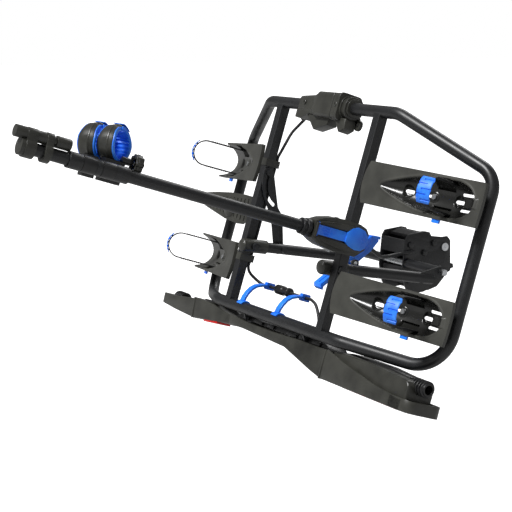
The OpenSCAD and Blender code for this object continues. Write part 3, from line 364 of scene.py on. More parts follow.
def stadium(length, width, steps=8):  # outline of a round-ended slot
    half, r = (length - width) / 2, width / 2
    return [
        (side * half + r * math.cos(a), r * math.sin(a))
        for side, start in ((1, -90), (-1, 90))
        for a in [math.radians(start + 180 * k / steps) for k in range(steps + 1)]
    ]


def roundRect(halfY, halfZ, corner, steps=6):
    points = []
    for quarter in range(4):
        middleY = (halfY - corner) * (1 if quarter in (0, 3) else -1)
        middleZ = (halfZ - corner) * (1 if quarter < 2 else -1)
        for k in range(steps + 1):
            a = math.radians(90 * quarter + 90 * k / steps)
            points.append((middleY + corner * math.cos(a), middleZ + corner * math.sin(a)))
    return points


def ramped(value, width):  # rises from 0 to 1 over this width
    return max(0.0, min(1.0, value / width))


def within(share, edge):  # 1 inside a shape and 0 outside it, with a slope between
    reach, slope = edge
    return ramped(reach - share, slope)


def mirrored(side):
    return Matrix.Scale(-1, 4, (1, 0, 0)) if side < 0 else Matrix.Identity(4)


def bodyOf(nodeName):
    bodies = frame["record"]["behaviour"]["bodies"]
    return next(body for body, members in bodies.items() if nodeName in members)


# CAD nodes that keep their form and get moulded or pressed edges

softEdges = {  # node: edge radius in millimetres
    "arm_sleeves": 1.5, "arm_caps": 1.0, "coupling_plates": 1.0, "ball_socket": 1.5, "rest_pad": 1.5,
    "tilt_pedal": 1.6, "tilt_stay": 0.8, "mast_collars": 1.5, "plug": 1.0,
    "board_brackets": 0.8, "mast_sleeve": 0.8, "foot_lever": 1.2, "cable_clips": 0.6, "mast_foot": 2.0,
    "mast_rest": 0.8, "ball_jaw": 1.2, "coupling_bolts": 0.5, "pivot_bolts": 0.8, "cable_coils": 0.8,
}


def softened(nodeName, radius):
    piece = copyOf(nodes[nodeName], nodeName + ".moulded")
    editAll(piece, lambda: bpy.ops.mesh.remove_doubles(threshold=0.00001),
            lambda: bpy.ops.mesh.dissolve_limited(angle_limit=math.radians(0.6)))
    bevelled(piece, radius * mm, segments=3, angle=32, clamped=True)
    smoothByAngle(piece, 40)
    dress(piece, slotOf[nodeName], bodyOf(nodeName), [nodeName])
    return piece


for nodeName, radius in softEdges.items():
    softened(nodeName, radius)
print("softened CAD nodes done")

# Wheel trays: one for each side is modelled flat, with u along it and w across, and copied to its two rows

tray = {
    "length": 341.2, "width": 96.0, "wall": 2.4, "innerRound": 110.0, "outerBow": 0.0012,
    "columns": 176, "rows": 64,
    "slope": 13.4, "innerX": 237.0, "innerZ": 17.0, "rowsY": {"front": 98.0, "rear": -157.0},
    # the wheel hollow, part of a cone round an axis that lies above the plate
    "hollowStart": 46.0, "axisUp": 7.0, "border": 5.0, "noseShare": 0.12, "noseRun": 1.7, "innerShare": 0.86,
    "bead": 0.9, "beadAway": 2.5, "beadWidth": 2.6,
    # near trays close their hollow between these, far trays end in a toothed notch
    "closeFrom": 246.0, "closeTo": 322.0, "closeCurve": 2.4,
    "notchCentre": 371.0, "notchRadius": 47.0, "teeth": 6.4, "toothDepth": 2.4,
    "skirt": 9.0, "skirtAbove": -4.0, "skirtStop": 20.0,
    # how far each of the next shapes reaches and how wide its slope is, as shares of its size
    "pocketEdge": (1.08, 0.12), "channelEdge": (1.0, 0.2), "roundEdge": (1.15, 0.3),
    "wells": [(124, 0, 12, 5.5), (256, 0, 12, 5.5)],  # u, w, radius, depth
    "pocket": (219.0, 30.0, 23.0, 11.0, 9.0),  # u, w, half length, half width, depth
    "channel": (300.0, 30.0, 12.0, 3.0),  # u, half length, half width, height
    "boss": (190.0, 11.0, 2.5),  # u, radius, height
    "nearSlots": [(124, 0, 24, 8), (256, 0, 26, 8), (182, 0, 20, 6), (284, 17, 44, 6), (286, -17, 40, 6)],
    "farSlots": [(124, 0, 20, 6)],  # u, w, length, width
    # slot cutters' start and height; share of painted shade and gloss in the near and far hollows, and its inset
    # from the rim
    "cutFrom": -60.0, "cutHigh": 70.0, "shadedHollowNear": 1.0, "shadedHollowFar": 0.25, "shadedHollowInset": 0.8,
}


def hollowRadius(u, opened):
    along = (u - tray["hollowStart"]) / (tray["length"] - tray["hollowStart"])
    if along <= 0:
        return 0.0
    nose = math.sin(math.radians(90 * min(1, along * tray["noseRun"])))
    r = (tray["width"] / 2 - tray["border"]) * (tray["noseShare"] + (1 - tray["noseShare"]) * nose)
    r *= tray["innerShare"] + (1 - tray["innerShare"]) * along
    if opened:
        return r
    closing = max(0.0, u - tray["closeFrom"]) / (tray["closeTo"] - tray["closeFrom"])
    return r * math.sqrt(max(0.0, 1 - closing ** tray["closeCurve"]))


def hollowRim(r):  # half width of the hollow where it meets the plate
    return math.sqrt(max(0.0, r * r - tray["axisUp"] ** 2))


def hollowDepth(u, w, opened):  # the wheel hollow with a soft bead along its edge
    r = hollowRadius(u, opened)
    if r <= tray["axisUp"]:
        return 0
    rim = hollowRim(r)
    bead = tray["bead"] * math.exp(-(((abs(w) - rim - tray["beadAway"]) / tray["beadWidth"]) ** 2))
    if abs(w) >= rim:
        return bead
    return tray["axisUp"] - math.sqrt(r * r - w * w) + bead


def trayEnds(w, opened):
    start = tray["innerRound"] - math.sqrt(tray["innerRound"] ** 2 - w * w)
    if not opened:
        return start, tray["length"] - tray["outerBow"] * w * w
    reach = tray["notchRadius"] ** 2 - w * w
    notch = tray["notchCentre"] - math.sqrt(reach) if reach > 0 else tray["length"]
    end = min(tray["length"], notch)
    if end < tray["length"] - 1:
        end -= tray["toothDepth"] * abs(math.sin(math.pi * w / tray["teeth"]))
    return start, end


def trayHeight(u, w, opened):  # the plate's middle surface, with its pockets, channel, wells and boss
    z = hollowDepth(u, w, opened) - tray["wall"] / 2
    pocketU, pocketW, halfLength, halfWidth, depth = tray["pocket"]
    z -= depth * within(max(abs(u - pocketU) / halfLength, abs(abs(w) - pocketW) / halfWidth), tray["pocketEdge"])
    if not opened:
        channelU, halfLength, halfWidth, height = tray["channel"]
        z += height * within(max(abs(u - channelU) / halfLength, abs(w) / halfWidth), tray["channelEdge"])
    for wellU, wellW, wellR, depth in tray["wells"]:
        z -= depth * within(math.hypot(u - wellU, w - wellW) / wellR, tray["roundEdge"])
    bossU, bossR, height = tray["boss"]
    return z + height * within(math.hypot(u - bossU, w) / bossR, tray["roundEdge"])


def makeTray(name, opened):
    piece = newPiece(name, bpy.ops.mesh.primitive_grid_add, x_subdivisions=tray["columns"],
                     y_subdivisions=tray["rows"], size=2)
    for vertex in piece.data.vertices:
        w = vertex.co.y * tray["width"] / 2
        start, end = trayEnds(w, opened)
        u = start + (vertex.co.x + 1) / 2 * (end - start)
        vertex.co = (u, w, trayHeight(u, w, opened))
    bpy.ops.object.mode_set(mode="EDIT")
    bpy.ops.mesh.select_all(action="DESELECT")
    bpy.ops.mesh.select_non_manifold()
    bpy.ops.object.mode_set(mode="OBJECT")
    for edge in piece.data.edges:  # the skirt hangs from the plate's edge, not from the open end of the hollow
        corners = [piece.data.vertices[i].co for i in edge.vertices]
        atNotch = opened and max(corner.x for corner in corners) > tray["length"] - tray["skirtStop"]
        if min(corner.z for corner in corners) < tray["skirtAbove"] or atNotch:
            edge.select = False
    bpy.ops.object.mode_set(mode="EDIT")
    bpy.ops.mesh.select_mode(type="EDGE")
    bpy.ops.mesh.extrude_edges_move(TRANSFORM_OT_translate={"value": (0, 0, -tray["skirt"])})
    bpy.ops.object.mode_set(mode="OBJECT")
    editAll(piece, faceOutwards)
    applyModifier(piece, "SOLIDIFY", thickness=tray["wall"], offset=-1.0, use_even_offset=False)
    cutters = [shifted(slab("slotCutter", stadium(length, width), tray["cutHigh"]), u, w, tray["cutFrom"])
               for u, w, length, width in tray["farSlots" if opened else "nearSlots"]]
    cutOut(piece, joined("slotCutters", cutters))
    smoothByAngle(piece, 32)
    # painted shade: each point's share of the darker hollow colour, which also makes it glossier
    drawn = piece.data.attributes.new("drawn", "FLOAT", "POINT")
    for vertex, value in zip(piece.data.vertices, drawn.data):
        u, w, _ = vertex.co
        inside = abs(w) < hollowRim(hollowRadius(u, opened)) - tray["shadedHollowInset"]
        value.value = tray["shadedHollowFar" if opened else "shadedHollowNear"] if inside else 0.0
    return piece


def trayPlace(side, y):
    root = Matrix.Translation((tray["innerX"], y, tray["innerZ"]))
    return onPlatform @ mirrored(side) @ root @ Matrix.Rotation(math.radians(tray["slope"]), 4, "Y")


sides = {"near": 1, "far": -1}
for sideName, side in sides.items():
    trayMould = makeTray("trayMould", side < 0)
    for rowName, y in tray["rowsY"].items():
        piece = copyOf(trayMould, "tray." + sideName + "." + rowName)
        placed(piece, trayPlace(side, y))
        dress(piece, "tray_plastic", "platform", ["wheel_trays_" + sideName])
    bpy.data.objects.remove(trayMould)
print("wheel trays done")

# Strap loops with their ribbed pads

strap = {
    "inner": 31.0, "height": 132.0, "band": 3.2, "width": 18.0, "lean": 25.5, "rootU": 236.0, "rootDown": 29.0,
    "edge": 0.5, "toothStep": 6.0, "toothHeight": 1.2, "toothFrom": 34.0, "toothStop": 8.0,
}
pad = {
    "width": 32.0, "arc": 98.0, "thickness": 4.0, "shell": 1.4, "corner": 8.0, "clear": 0.1,
    "edgeWidth": 2.0, "edgeDrop": 1.2, "columns": 96, "rows": 56,
    "grooveStep": 11.4, "grooveDepth": 2.4, "grooveWidth": 3.6, "grooveEdge": (1.25, 0.4), "grooveStop": 10.0,
    "grooveRows": 2,
}
strapTop = strap["height"] - strap["inner"]  # where the straight sides end and the bend begins


def loopPlace(side, y):
    slope = math.radians(tray["slope"])
    root = Matrix.Translation((
        tray["innerX"] + strap["rootU"] * math.cos(slope), y,
        tray["innerZ"] - strap["rootU"] * math.sin(slope) - strap["rootDown"],
    ))
    return onPlatform @ mirrored(side) @ root @ Matrix.Rotation(math.radians(strap["lean"]), 4, "Y")


def loopLine(radius, step):  # points (y, z) up one side, over the top and down the other
    count = int(strapTop / step)
    up = [(radius, strapTop * k / count) for k in range(count)]
    turn = max(12, int(math.pi * radius / step))
    over = [(radius * math.cos(math.pi * k / turn), strapTop + radius * math.sin(math.pi * k / turn))
            for k in range(turn + 1)]
    return up + over + [(-y, z) for y, z in reversed(up)]


def makeStrap():
    toothed = []
    for number, (y, z) in enumerate(loopLine(strap["inner"] + strap["band"], strap["toothStep"] / 4)):
        onTooth = number % 4 < 2 and strap["toothFrom"] < z < strapTop - strap["toothStop"]
        out = Vector((y, max(0, z - strapTop))).normalized() * (strap["toothHeight"] if onTooth else 0)
        toothed.append((y + out.x, z + out.y))
    inner = list(reversed(loopLine(strap["inner"], strap["toothStep"] / 2)))
    return alongX("strapMould", toothed + inner, -strap["width"] / 2, strap["width"] / 2, strap["edge"])


def makePad():  # a plate bent over the loop, with rounded corners and a groove that winds across it
    piece = newPiece("padMould", bpy.ops.mesh.primitive_grid_add, x_subdivisions=pad["columns"],
                     y_subdivisions=pad["rows"], size=2)
    radius = strap["inner"] + strap["band"] + pad["clear"]
    halfArc = math.radians(pad["arc"]) * (radius + pad["thickness"]) / 2
    halfWidth, corner = pad["width"] / 2, pad["corner"]
    for vertex in piece.data.vertices:
        s, x = vertex.co.x * halfArc, vertex.co.y * halfWidth
        overS, overX = abs(s) - (halfArc - corner), abs(x) - (halfWidth - corner)
        if overS > 0 and overX > 0:
            squeeze = corner / max(corner, math.hypot(overS, overX))
            s = math.copysign(halfArc - corner + overS * squeeze, s)
            x = math.copysign(halfWidth - corner + overX * squeeze, x)
        row = round(s / pad["grooveStep"])
        openSide = 1 if row % 2 else -1
        across = abs(s - row * pad["grooveStep"]) / (pad["grooveWidth"] / 2)
        deep = 0
        if abs(row) <= pad["grooveRows"] and x * openSide < halfWidth - pad["grooveStop"]:
            deep = pad["grooveDepth"] * within(across, pad["grooveEdge"])
        edge = min(halfArc - abs(s), halfWidth - abs(x), pad["edgeWidth"])
        height = pad["thickness"] - deep - pad["edgeDrop"] * (1 - max(0.0, edge) / pad["edgeWidth"])
        angle = s / (radius + pad["thickness"])
        vertex.co = (x, (radius + height) * math.sin(angle), (radius + height) * math.cos(angle))
        vertex.co.z += strapTop
    editAll(piece, faceOutwards)
    if piece.data.polygons[len(piece.data.polygons) // 2].normal.z < 0:
        editAll(piece, bpy.ops.mesh.flip_normals)
    applyModifier(piece, "SOLIDIFY", thickness=pad["shell"], offset=-1.0)
    return piece


strapMould = makeStrap()
padMould = makePad()
smoothByAngle(padMould, 40)
smoothByAngle(strapMould, 30)
for sideName, side in sides.items():
    for rowName, y in tray["rowsY"].items():
        for word, mould, material, node in (("strap.", strapMould, "black_rubber", "strap_loops"),
                                            ("strapPad.", padMould, "blue_rubber", "strap_pads")):
            piece = copyOf(mould, word + sideName + "." + rowName)
            placed(piece, loopPlace(side, y))
            dress(piece, material, "platform", [node])
bpy.data.objects.remove(strapMould)
bpy.data.objects.remove(padMould)
print("straps done")

# Frame clamps on the mast, each drawn round its own x axis, with its hinge at 180 degrees

clamp = {
    "radius": 41.0, "width": 37.0, "tilt": 34.0, "turn": 6.0, "mastX": 216.0,
    "places": [(-74, 17, 619), (-46, 23, 589)], "bandEdge": 1.2,
    # angles at which the fixed shell and the jaw start and end, and those of the strip over their hinge
    "shell": (188, 364), "jaw": (10, 172), "shellStrip": (181, 200), "jawStrip": (160, 179),
    "stripInner": 42.4, "stripOuter": 44.0,
    "clawEdge": 0.5, "wall": 36.2, "narrowFrom": 4.0, "narrowTo": 0.66,
    "crown": [
        (-18.5, 38.0), (-16, 39.2), (-8, 40.4), (3, 40.9), (5, 41.9), (7.5, 41.9), (9, 40.6), (15, 39.2),
        (18.5, 38.2),
    ],
    "lip": [(0, 29.9), (1.8, 30.2), (3.0, 32.0), (3.0, 36.8), (2.0, 38.1), (0, 38.4)],  # outwards, radius
    "lipSunk": 0.3, "linerSunk": 0.5, "linerEdge": 0.3, "linerInner": 28.2, "linerOuter": 35.9,
    "toothStep": 7.6, "toothDepth": 3.4,
    # degrees that liner and lip end short of the claw, and degrees for each face of lip and claw
    "linerShort": 1, "lipShort": 0.5, "lipStep": 5, "clawStep": 4, "linerSteps": 40, "stripSteps": 5,
}


def clampPlace(number):
    x, y, z = clamp["places"][number]
    return (
        onPlatform @ Matrix.Translation((clamp["mastX"] + x, y, z))
        @ Matrix.Rotation(math.radians(clamp["turn"]), 4, "Z")
        @ Matrix.Rotation(math.radians(clamp["tilt"]), 4, "Y")
        @ Matrix.Rotation(math.radians(-90), 4, "X")
    )


def narrowed(piece):  # each claw gets narrower towards its hinge
    for vertex in piece.data.vertices:
        share = ramped(vertex.co.z - clamp["narrowFrom"], clamp["radius"] - clamp["narrowFrom"])
        vertex.co.x *= 1 - (1 - clamp["narrowTo"]) * share


def clampLip(start, end, side):  # rounded blue lip beside a claw
    foot = clamp["width"] / 2 - clamp["lipSunk"]
    profile = [(side * (foot + out), r) for out, r in clamp["lip"]]
    return spun("clampLip", profile, start, end, int((end - start) / clamp["lipStep"]))


def ringPoint(angle, radius):
    return radius * math.sin(math.radians(angle)), -radius * math.cos(math.radians(angle))


def toothOutline(start, end):  # pointed teeth inside the rubber liner
    count = int((end - start) * math.pi / 180 * clamp["linerInner"] / clamp["toothStep"])
    inside = []
    for k in range(count):
        for share, extra in ((0.0, 0.0), (0.5, clamp["toothDepth"])):
            angle = end - (end - start) * (k + share) / count
            inside.append(ringPoint(angle, clamp["linerInner"] + extra))
    inside.append(ringPoint(start, clamp["linerInner"]))
    steps = clamp["linerSteps"]
    outside = [ringPoint(start + (end - start) * k / steps, clamp["linerOuter"]) for k in range(steps + 1)]
    return outside + inside


def makeLiner(name, start, end, stripEnds):
    half, inner, outer = clamp["width"] / 2, clamp["stripInner"], clamp["stripOuter"]
    teeth = toothOutline(start + clamp["linerShort"], end - clamp["linerShort"])
    low, high = -half + clamp["linerSunk"], half - clamp["linerSunk"]
    parts = [alongX("clampLiner", teeth, low, high, clamp["linerEdge"], 1)]
    parts += [clampLip(start + clamp["lipShort"], end - clamp["lipShort"], side) for side in (-1, 1)]
    strip = [(-half, inner), (half, inner), (half, outer), (-half, outer)]
    parts.append(spun("hingeStrip", strip, *stripEnds, clamp["stripSteps"]))
    piece = joined(name, parts)
    narrowed(piece)
    smoothByAngle(piece, 32)
    return piece


def makeClaw(name, start, end):
    half = clamp["width"] / 2
    profile = [(half, clamp["wall"]), (-half, clamp["wall"])] + clamp["crown"]
    piece = spun(name, profile, start, end, int((end - start) / clamp["clawStep"]))
    narrowed(piece)
    bevelled(piece, clamp["clawEdge"], segments=2, angle=40)
    smoothByAngle(piece, 24)
    return piece


for number, word in enumerate(("one", "two")):
    for partName, body, linerNode, clawNode in (
            ("shell", "clamp_" + word, "clamp_liner_" + word, "clamp_shell_" + word),
            ("jaw", "jaw_" + word, "jaw_liner_" + word, "clamp_jaw_" + word)):
        start, end = clamp[partName]
        ending = partName + "." + word
        liner = makeLiner("clampLiner." + ending, start, end, clamp[partName + "Strip"])
        placed(liner, clampPlace(number))
        dress(liner, "blue_rubber", body, [linerNode])
        claw = makeClaw("claw." + ending, start, end)
        placed(claw, clampPlace(number))
        dress(claw, "dark_plastic", body, [clawNode])
    softened("clamp_band_" + word, clamp["bandEdge"]).data.materials[0] = finish["black_plastic"]
print("frame clamps done")

# Knob: eight soft lobes with a dished face and a screw in it

knob = {
    "place": (198.0, -6.0, 532.0), "depth": 18.0, "radius": 20.0, "lobe": 1.3, "lobes": 8, "points": 96,
    "faceSteps": [(3.2, 0.0), (1.2, -1.2), (1.6, -4.0)],  # inset and depth of each step of the dished face
    "edge": 1.2, "screwRadius": 4.2, "screwHigh": 4.0, "screwDown": 6.0, "screwEdge": 0.5,
}


def knobOutline():
    turns = [2 * math.pi * k / knob["points"] for k in range(knob["points"])]
    radii = [knob["radius"] + knob["lobe"] * (math.cos(knob["lobes"] * a) - 1) for a in turns]
    return [(r * math.cos(a), r * math.sin(a)) for r, a in zip(radii, turns)]


def makeKnob():
    piece = slab("knobMould", knobOutline(), knob["depth"])
    bpy.ops.object.mode_set(mode="EDIT")
    bpy.ops.mesh.select_all(action="DESELECT")
    bpy.ops.object.mode_set(mode="OBJECT")
    for face in piece.data.polygons:  # only the front face
        face.select = face.normal.z > 0.9 and face.center.z > knob["depth"] - 1
    bpy.ops.object.mode_set(mode="EDIT")
    bpy.ops.mesh.select_mode(type="FACE")
    for inset, depth in knob["faceSteps"]:
        bpy.ops.mesh.inset(thickness=inset, depth=depth)
    bpy.ops.object.mode_set(mode="OBJECT")
    bevelled(piece, knob["edge"], segments=3, angle=40)
    smoothByAngle(piece, 35)
    return piece


knobTurn = onPlatform @ Matrix.Translation(knob["place"])
knobPiece = makeKnob()
knobScrew = slab("knobScrew", ring(knob["screwRadius"], 6), knob["screwHigh"], knob["screwEdge"])
shifted(knobScrew, 0, 0, knob["depth"] - knob["screwDown"])
placed(knobPiece, knobTurn)
placed(knobScrew, knobTurn)
knobPiece.name = "knob"
dress(knobPiece, "dark_plastic", bodyOf("mast_knob"), ["mast_knob"])
dress(knobScrew, "bright_steel", bodyOf("mast_knob"))
print("knob done")

# Housing on the front tube, the lugs under it and the eye at its end, drawn round the tube's own axis

housing = {
    "tubeY": 260.0,
    "sections": [  # from, to, half height, half depth, corner, edge, how far the start is drawn in
        (-118, -44, 24, 23, 12, 2.0, 0.8), (-46, -22, 31, 31, 12, 1.0, 0.76), (-24, 50, 31, 31, 10, 2.6, 1.0),
        (52, 74, 31, 31, 10, 2.0, 1.0), (73, 80, 33, 33, 13, 1.6, 1.0),
    ],
    "collars": [  # from, to, half height, half depth
        (49, 53, 29, 29), (79, 84, 27, 27), (84, 98, 24, 24), (97, 102, 26, 26), (101, 106.5, 21, 21),
    ],
    "collarRound": 0.8, "collarEdge": 0.9, "lugEdge": 2.0, "eyeEdge": 1.0, "holeFrom": -10.0, "holeHigh": 30.0,
    "lugs": [  # outline and half width of the two wedges and of the keel that joins them
        ([(-80, -22), (-28, -61), (25, -46), (30, -22)], 15), ([(50, -26), (82, -60), (104, -50), (100, -26)], 15),
        ([(-117, -14), (-118, -36), (-92, -38), (-60, -24), (60, -34), (78, -24)], 20),
    ],
    "screws": [(-86, 2, 21.5), (68, 2, 31.5)],
    "screwProfile": [(0, 0), (0, 5.5), (1.2, 5.5), (1.8, 4.6), (1.8, 3.0), (0.4, 2.6), (0.4, 0)],
    "eyeX": 104.0, "eyeY": -34.0, "eyeZ": -26.0, "eyeRadius": 13.0, "eyeThick": 8.0,
    "holeRadius": 6.0, "holeOut": 2.0,
    "eyeArm": [(80, -12), (96, -12), (104, -22), (98, -36), (80, -34)],
}
onFrontTube = onPlatform @ Matrix.Translation((0, housing["tubeY"], 0))


def finishHousing(name, parts, nodeName):
    piece = joined(name, parts)
    smoothByAngle(piece, 32)
    placed(piece, onFrontTube)
    dress(piece, "dark_plastic", "platform", [nodeName])


parts = []
for low, high, halfY, halfZ, corner, edge, drawnIn in housing["sections"]:
    part = alongX("housingSection", roundRect(halfY, halfZ, corner), low, high)
    for vertex in part.data.vertices:
        if vertex.co.x < low + 0.1:  # the start of the section
            vertex.co.y *= drawnIn
            vertex.co.z *= drawnIn
    bevelled(part, edge, segments=3, angle=35)
    parts.append(part)
for outline, half in housing["lugs"]:
    parts.append(shifted(slab("housingLug", outline, 2 * half, housing["lugEdge"], 3), 0, 0, -half))
for place in housing["screws"]:
    screw = spun("housingScrew", housing["screwProfile"], 90, 450, 20)
    screw.data.transform(Matrix.Translation(place) @ Matrix.Rotation(math.radians(-90), 4, "Y"))
    parts.append(screw)
finishHousing("frontHousing", parts, "front_housing")

parts = []
for low, high, halfY, halfZ in housing["collars"]:
    outline = roundRect(halfY, halfZ, min(halfY, halfZ) * housing["collarRound"], 8)
    parts.append(alongX("collarRing", outline, low, high, housing["collarEdge"], 3))
eyeOutline = ring(housing["eyeRadius"], 36, housing["eyeX"], housing["eyeY"])
holeOutline = ring(housing["holeRadius"], 24, housing["eyeX"] + housing["holeOut"], housing["eyeY"])
eye = slab("eyeLug", eyeOutline, housing["eyeThick"], housing["eyeEdge"])
cutOut(eye, shifted(slab("eyeHole", holeOutline, housing["holeHigh"]), 0, 0, housing["holeFrom"]))
arm = slab("eyeArm", housing["eyeArm"], housing["eyeThick"], housing["eyeEdge"])
finishHousing("housingCollars", parts + [shifted(part, 0, 0, housing["eyeZ"]) for part in (eye, arm)],
              "housing_collars")
print("front housing done")

# Blue cable hooks: a foot over the rear tube, an arched strap and a box clip round the cable

hook = {
    "placesX": {"outer": -150, "inner": 20}, "width": 18.0, "tubeY": -260.0,
    "footInner": 14.3, "footOuter": 18.0, "footFrom": 28, "footTo": 142, "footWider": 3.0, "footSteps": 10,
    "arch": [(-244, 6), (-234, 4), (-222, -1), (-210, -9), (-201, -20), (-196, -34), (-194, -48)], "archThick": 6.5,
    "clipY": -194.0, "clipZ": -58.0, "clipHalfY": 9.0, "clipHalfZ": 11.5, "clipCorner": 2.5, "clipShare": 0.7,
    "cableRadius": 4.4, "cutReach": 20.0, "footEdge": 0.8, "archEdge": 1.2,
}


def ribbon(path, thickness):  # outline of a bent strip from its middle line
    left, right = [], []
    for number, (y, z) in enumerate(path):
        before, after = path[max(0, number - 1)], path[min(len(path) - 1, number + 1)]
        way = Vector((after[0] - before[0], after[1] - before[1])).normalized() * thickness / 2
        left.append((y - way.y, z + way.x))
        right.append((y + way.y, z - way.x))
    return left + list(reversed(right))


def arcPoints(radius, backwards):  # along the tube, under the hook's foot
    turns = [hook["footFrom"] + (hook["footTo"] - hook["footFrom"]) * k / hook["footSteps"]
             for k in range(hook["footSteps"] + 1)]
    points = [(hook["tubeY"] + radius * math.sin(math.radians(a)), radius * math.cos(math.radians(a)))
              for a in turns]
    return points[::-1] if backwards else points


footOutline = arcPoints(hook["footInner"], False) + arcPoints(hook["footOuter"], True)
clipOutline = [(hook["clipY"] + y, hook["clipZ"] + z)
               for y, z in roundRect(hook["clipHalfY"], hook["clipHalfZ"], hook["clipCorner"], 3)]
cableOutline = ring(hook["cableRadius"], 18, hook["clipY"], hook["clipZ"])
for hookName, x in hook["placesX"].items():
    half = hook["width"] / 2
    foot, clipHalf = half + hook["footWider"], half * hook["clipShare"]
    clip = alongX("hookClip", clipOutline, x - clipHalf, x + clipHalf)
    cutOut(clip, alongX("hookCut", cableOutline, x - hook["cutReach"], x + hook["cutReach"]))
    piece = joined("cableHook." + hookName, [
        alongX("hookFoot", footOutline, x - foot, x + foot, hook["footEdge"]),
        alongX("hookArch", ribbon(hook["arch"], hook["archThick"]), x - half, x + half, hook["archEdge"], 3), clip,
    ])
    smoothByAngle(piece, 35)
    placed(piece, onPlatform)
    dress(piece, "blue_plastic", "platform", ["cable_hooks"])
print("cable hooks done")

# Mast foot: the recess that the blue lever lies in, with a thin black sheet on its floor as painted shade, and the
# three raised rails round it

footTrim = {
    "face": 235.0, "axisY": -35.0, "recessFrom": -2.6, "recessTo": -1.9, "railsFrom": -3.0, "railsTo": 6.0,
    "recessEdge": 0.2, "railsEdge": 2.2, "recess": [(-14, -16), (16, -16), (16, 98), (-14, 98)],
    "rails": [
        [(15, -14), (25, -22), (29, 10), (28, 52), (22, 88), (17, 97), (14.5, 96)],
        [(-13, -16), (-24, -26), (-29, 4), (-28, 46), (-22, 84), (-16, 97), (-13, 96)],
        [(-15, 96), (16, 96), (17, 102), (-16, 102)],
    ],
}


def footSlab(name, outline, word, segments):
    outline = [(footTrim["axisY"] + y, z) for y, z in outline]
    low, high = footTrim["face"] + footTrim[word + "From"], footTrim["face"] + footTrim[word + "To"]
    return alongX(name, outline, low, high, footTrim[word + "Edge"], segments)


# painted shade: this thin black sheet stands in for the shade in the lever's recess
recess = footSlab("leverRecess", footTrim["recess"], "recess", 2)
placed(recess, onPlatform)
dress(recess, "black_plastic", bodyOf("mast_foot"))
rails = joined("footRails", [footSlab("footRail", outline, "rails", 4) for outline in footTrim["rails"]])
smoothByAngle(rails, 40)
placed(rails, onPlatform)
dress(rails, "dark_plastic", bodyOf("mast_foot"))
print("foot trim done")

# Lamp board: outlines lie in the board's front plane, x along the board and y up, and z goes back into it

board = {  # outline, top, bottom, edge radius and the edge's segments
    "boardFace": ([
        (-200, -287), (-97, -291), (11, -291), (134, -287), (250, -287), (250, -351), (205, -343), (78, -315),
        (-125, -309), (-200, -310),
    ], 0, -100, 1.5, 3),
    "unitLeft": ([
        (-577, -292), (-520, -291), (-400, -279), (-392, -276), (-300, -278), (-196, -290), (-196, -310),
        (-295, -320), (-382, -327), (-390, -329), (-500, -325), (-574, -320),
    ], 0, -80, 2.5, 3),
    "unitSeamLeft": ([(-405, -277), (-398, -276), (-388, -329), (-395, -330)], 1.2, -20, 0.6, 2),
    "unitBand": ([
        (250, -287), (262, -286), (330, -300), (455, -320), (545, -328), (562, -328), (562, -352), (250, -352),
    ], 0, -4, 1.4, 3),
    "unitSeam": ([(248.5, -286), (253.5, -286), (253.5, -353), (248.5, -353)], 1.2, -20, 0.8, 2),
    "boardFloor": ([(252, -352), (566, -352), (566, -349), (252, -349)], -1, -95, 0.5, 2),
    "lampBlock": ([
        (262, -286), (290, -282), (420, -282), (546, -288), (556, -298), (556, -349), (262, -349),
    ], -14, -84, 5.0, 4),
    "lensLeft": ([(-330, -323), (-262, -317), (-262, -322), (-330, -328)], -2, -44, 0.6, 2),
    "lensRight": ([(330, -352), (540, -352), (540, -354), (330, -354)], -12, -84, 0.6, 2),
    "braceWeb": ([
        (-196, -288), (-170, -276), (-120, -273), (-60, -278), (40, -275), (150, -272), (228, -276), (246, -286),
    ], -12, -66, 1.5, 2),
    "braceWing": ([(258, -284), (300, -278), (420, -277), (520, -283), (520, -290), (258, -290)], -40, -80, 1.5, 2),
    "braceWingLeft": ([
        (-420, -284), (-400, -274), (-330, -271), (-250, -273), (-196, -284), (-196, -290), (-420, -290),
    ], -30, -74, 1.5, 2),
}
braceRibs = {  # x, length and height of each rib
    "rows": [(-150, 26, 12), (-96, 40, 8), (-30, 30, 10), (60, 46, 8), (118, 18, 14), (176, 34, 9)],
    "foot": -286, "slant": 4, "top": -7, "bottom": -16, "edge": 1.0,
}
boardEnd = {  # the wall that wraps round the near end
    "startX": 520.0, "endX": 589.0, "radius": 26.0, "thickness": 4.0, "depth": 96.0, "low": -352.0, "high": -326.0,
    "innerShift": 0.3, "turnSteps": 10, "edge": 1.0,
}


def boardSlab(name, outline, top, bottom, edge, segments=2):
    return shifted(slab(name, outline, top - bottom, edge, segments), 0, 0, bottom)


def boardPart(name):
    return boardSlab(name, *board[name])


def finishBoard(name, parts, material, instead=()):
    piece = joined(name, parts)
    smoothByAngle(piece, 32)
    placed(piece, onPlatform)
    dress(piece, material, "platform", instead)


def wallOutline():  # seen from above as (x, z)
    endX, r, thickness, depth = (boardEnd[key] for key in ("endX", "radius", "thickness", "depth"))
    turns = [math.radians(90 * k / boardEnd["turnSteps"]) for k in range(boardEnd["turnSteps"] + 1)]
    outer = [(endX - r + r * math.sin(a), -r + r * math.cos(a)) for a in turns]
    outer += [(endX - r + r * math.cos(a), -depth + r - r * math.sin(a)) for a in turns]
    inner = [(min(x, endX - thickness), max(min(z, -thickness), -depth + thickness)) for x, z in reversed(outer)]
    shift = thickness * boardEnd["innerShift"]
    inner = [(x - (shift if abs(x - endX + thickness) > 0.1 else 0), z) for x, z in inner]
    corners = [(boardEnd["startX"], z) for z in (-depth, -depth + thickness)]
    return [(boardEnd["startX"], 0)] + outer + corners + inner + [(boardEnd["startX"], -thickness)]


def makeBoardEnd():
    wall = slab("boardWrap", wallOutline(), boardEnd["high"] - boardEnd["low"])
    wall.data.transform(Matrix.Translation((0, boardEnd["high"], 0)) @ Matrix.Rotation(math.radians(90), 4, "X"))
    bevelled(wall, boardEnd["edge"], segments=2, angle=40)
    return wall


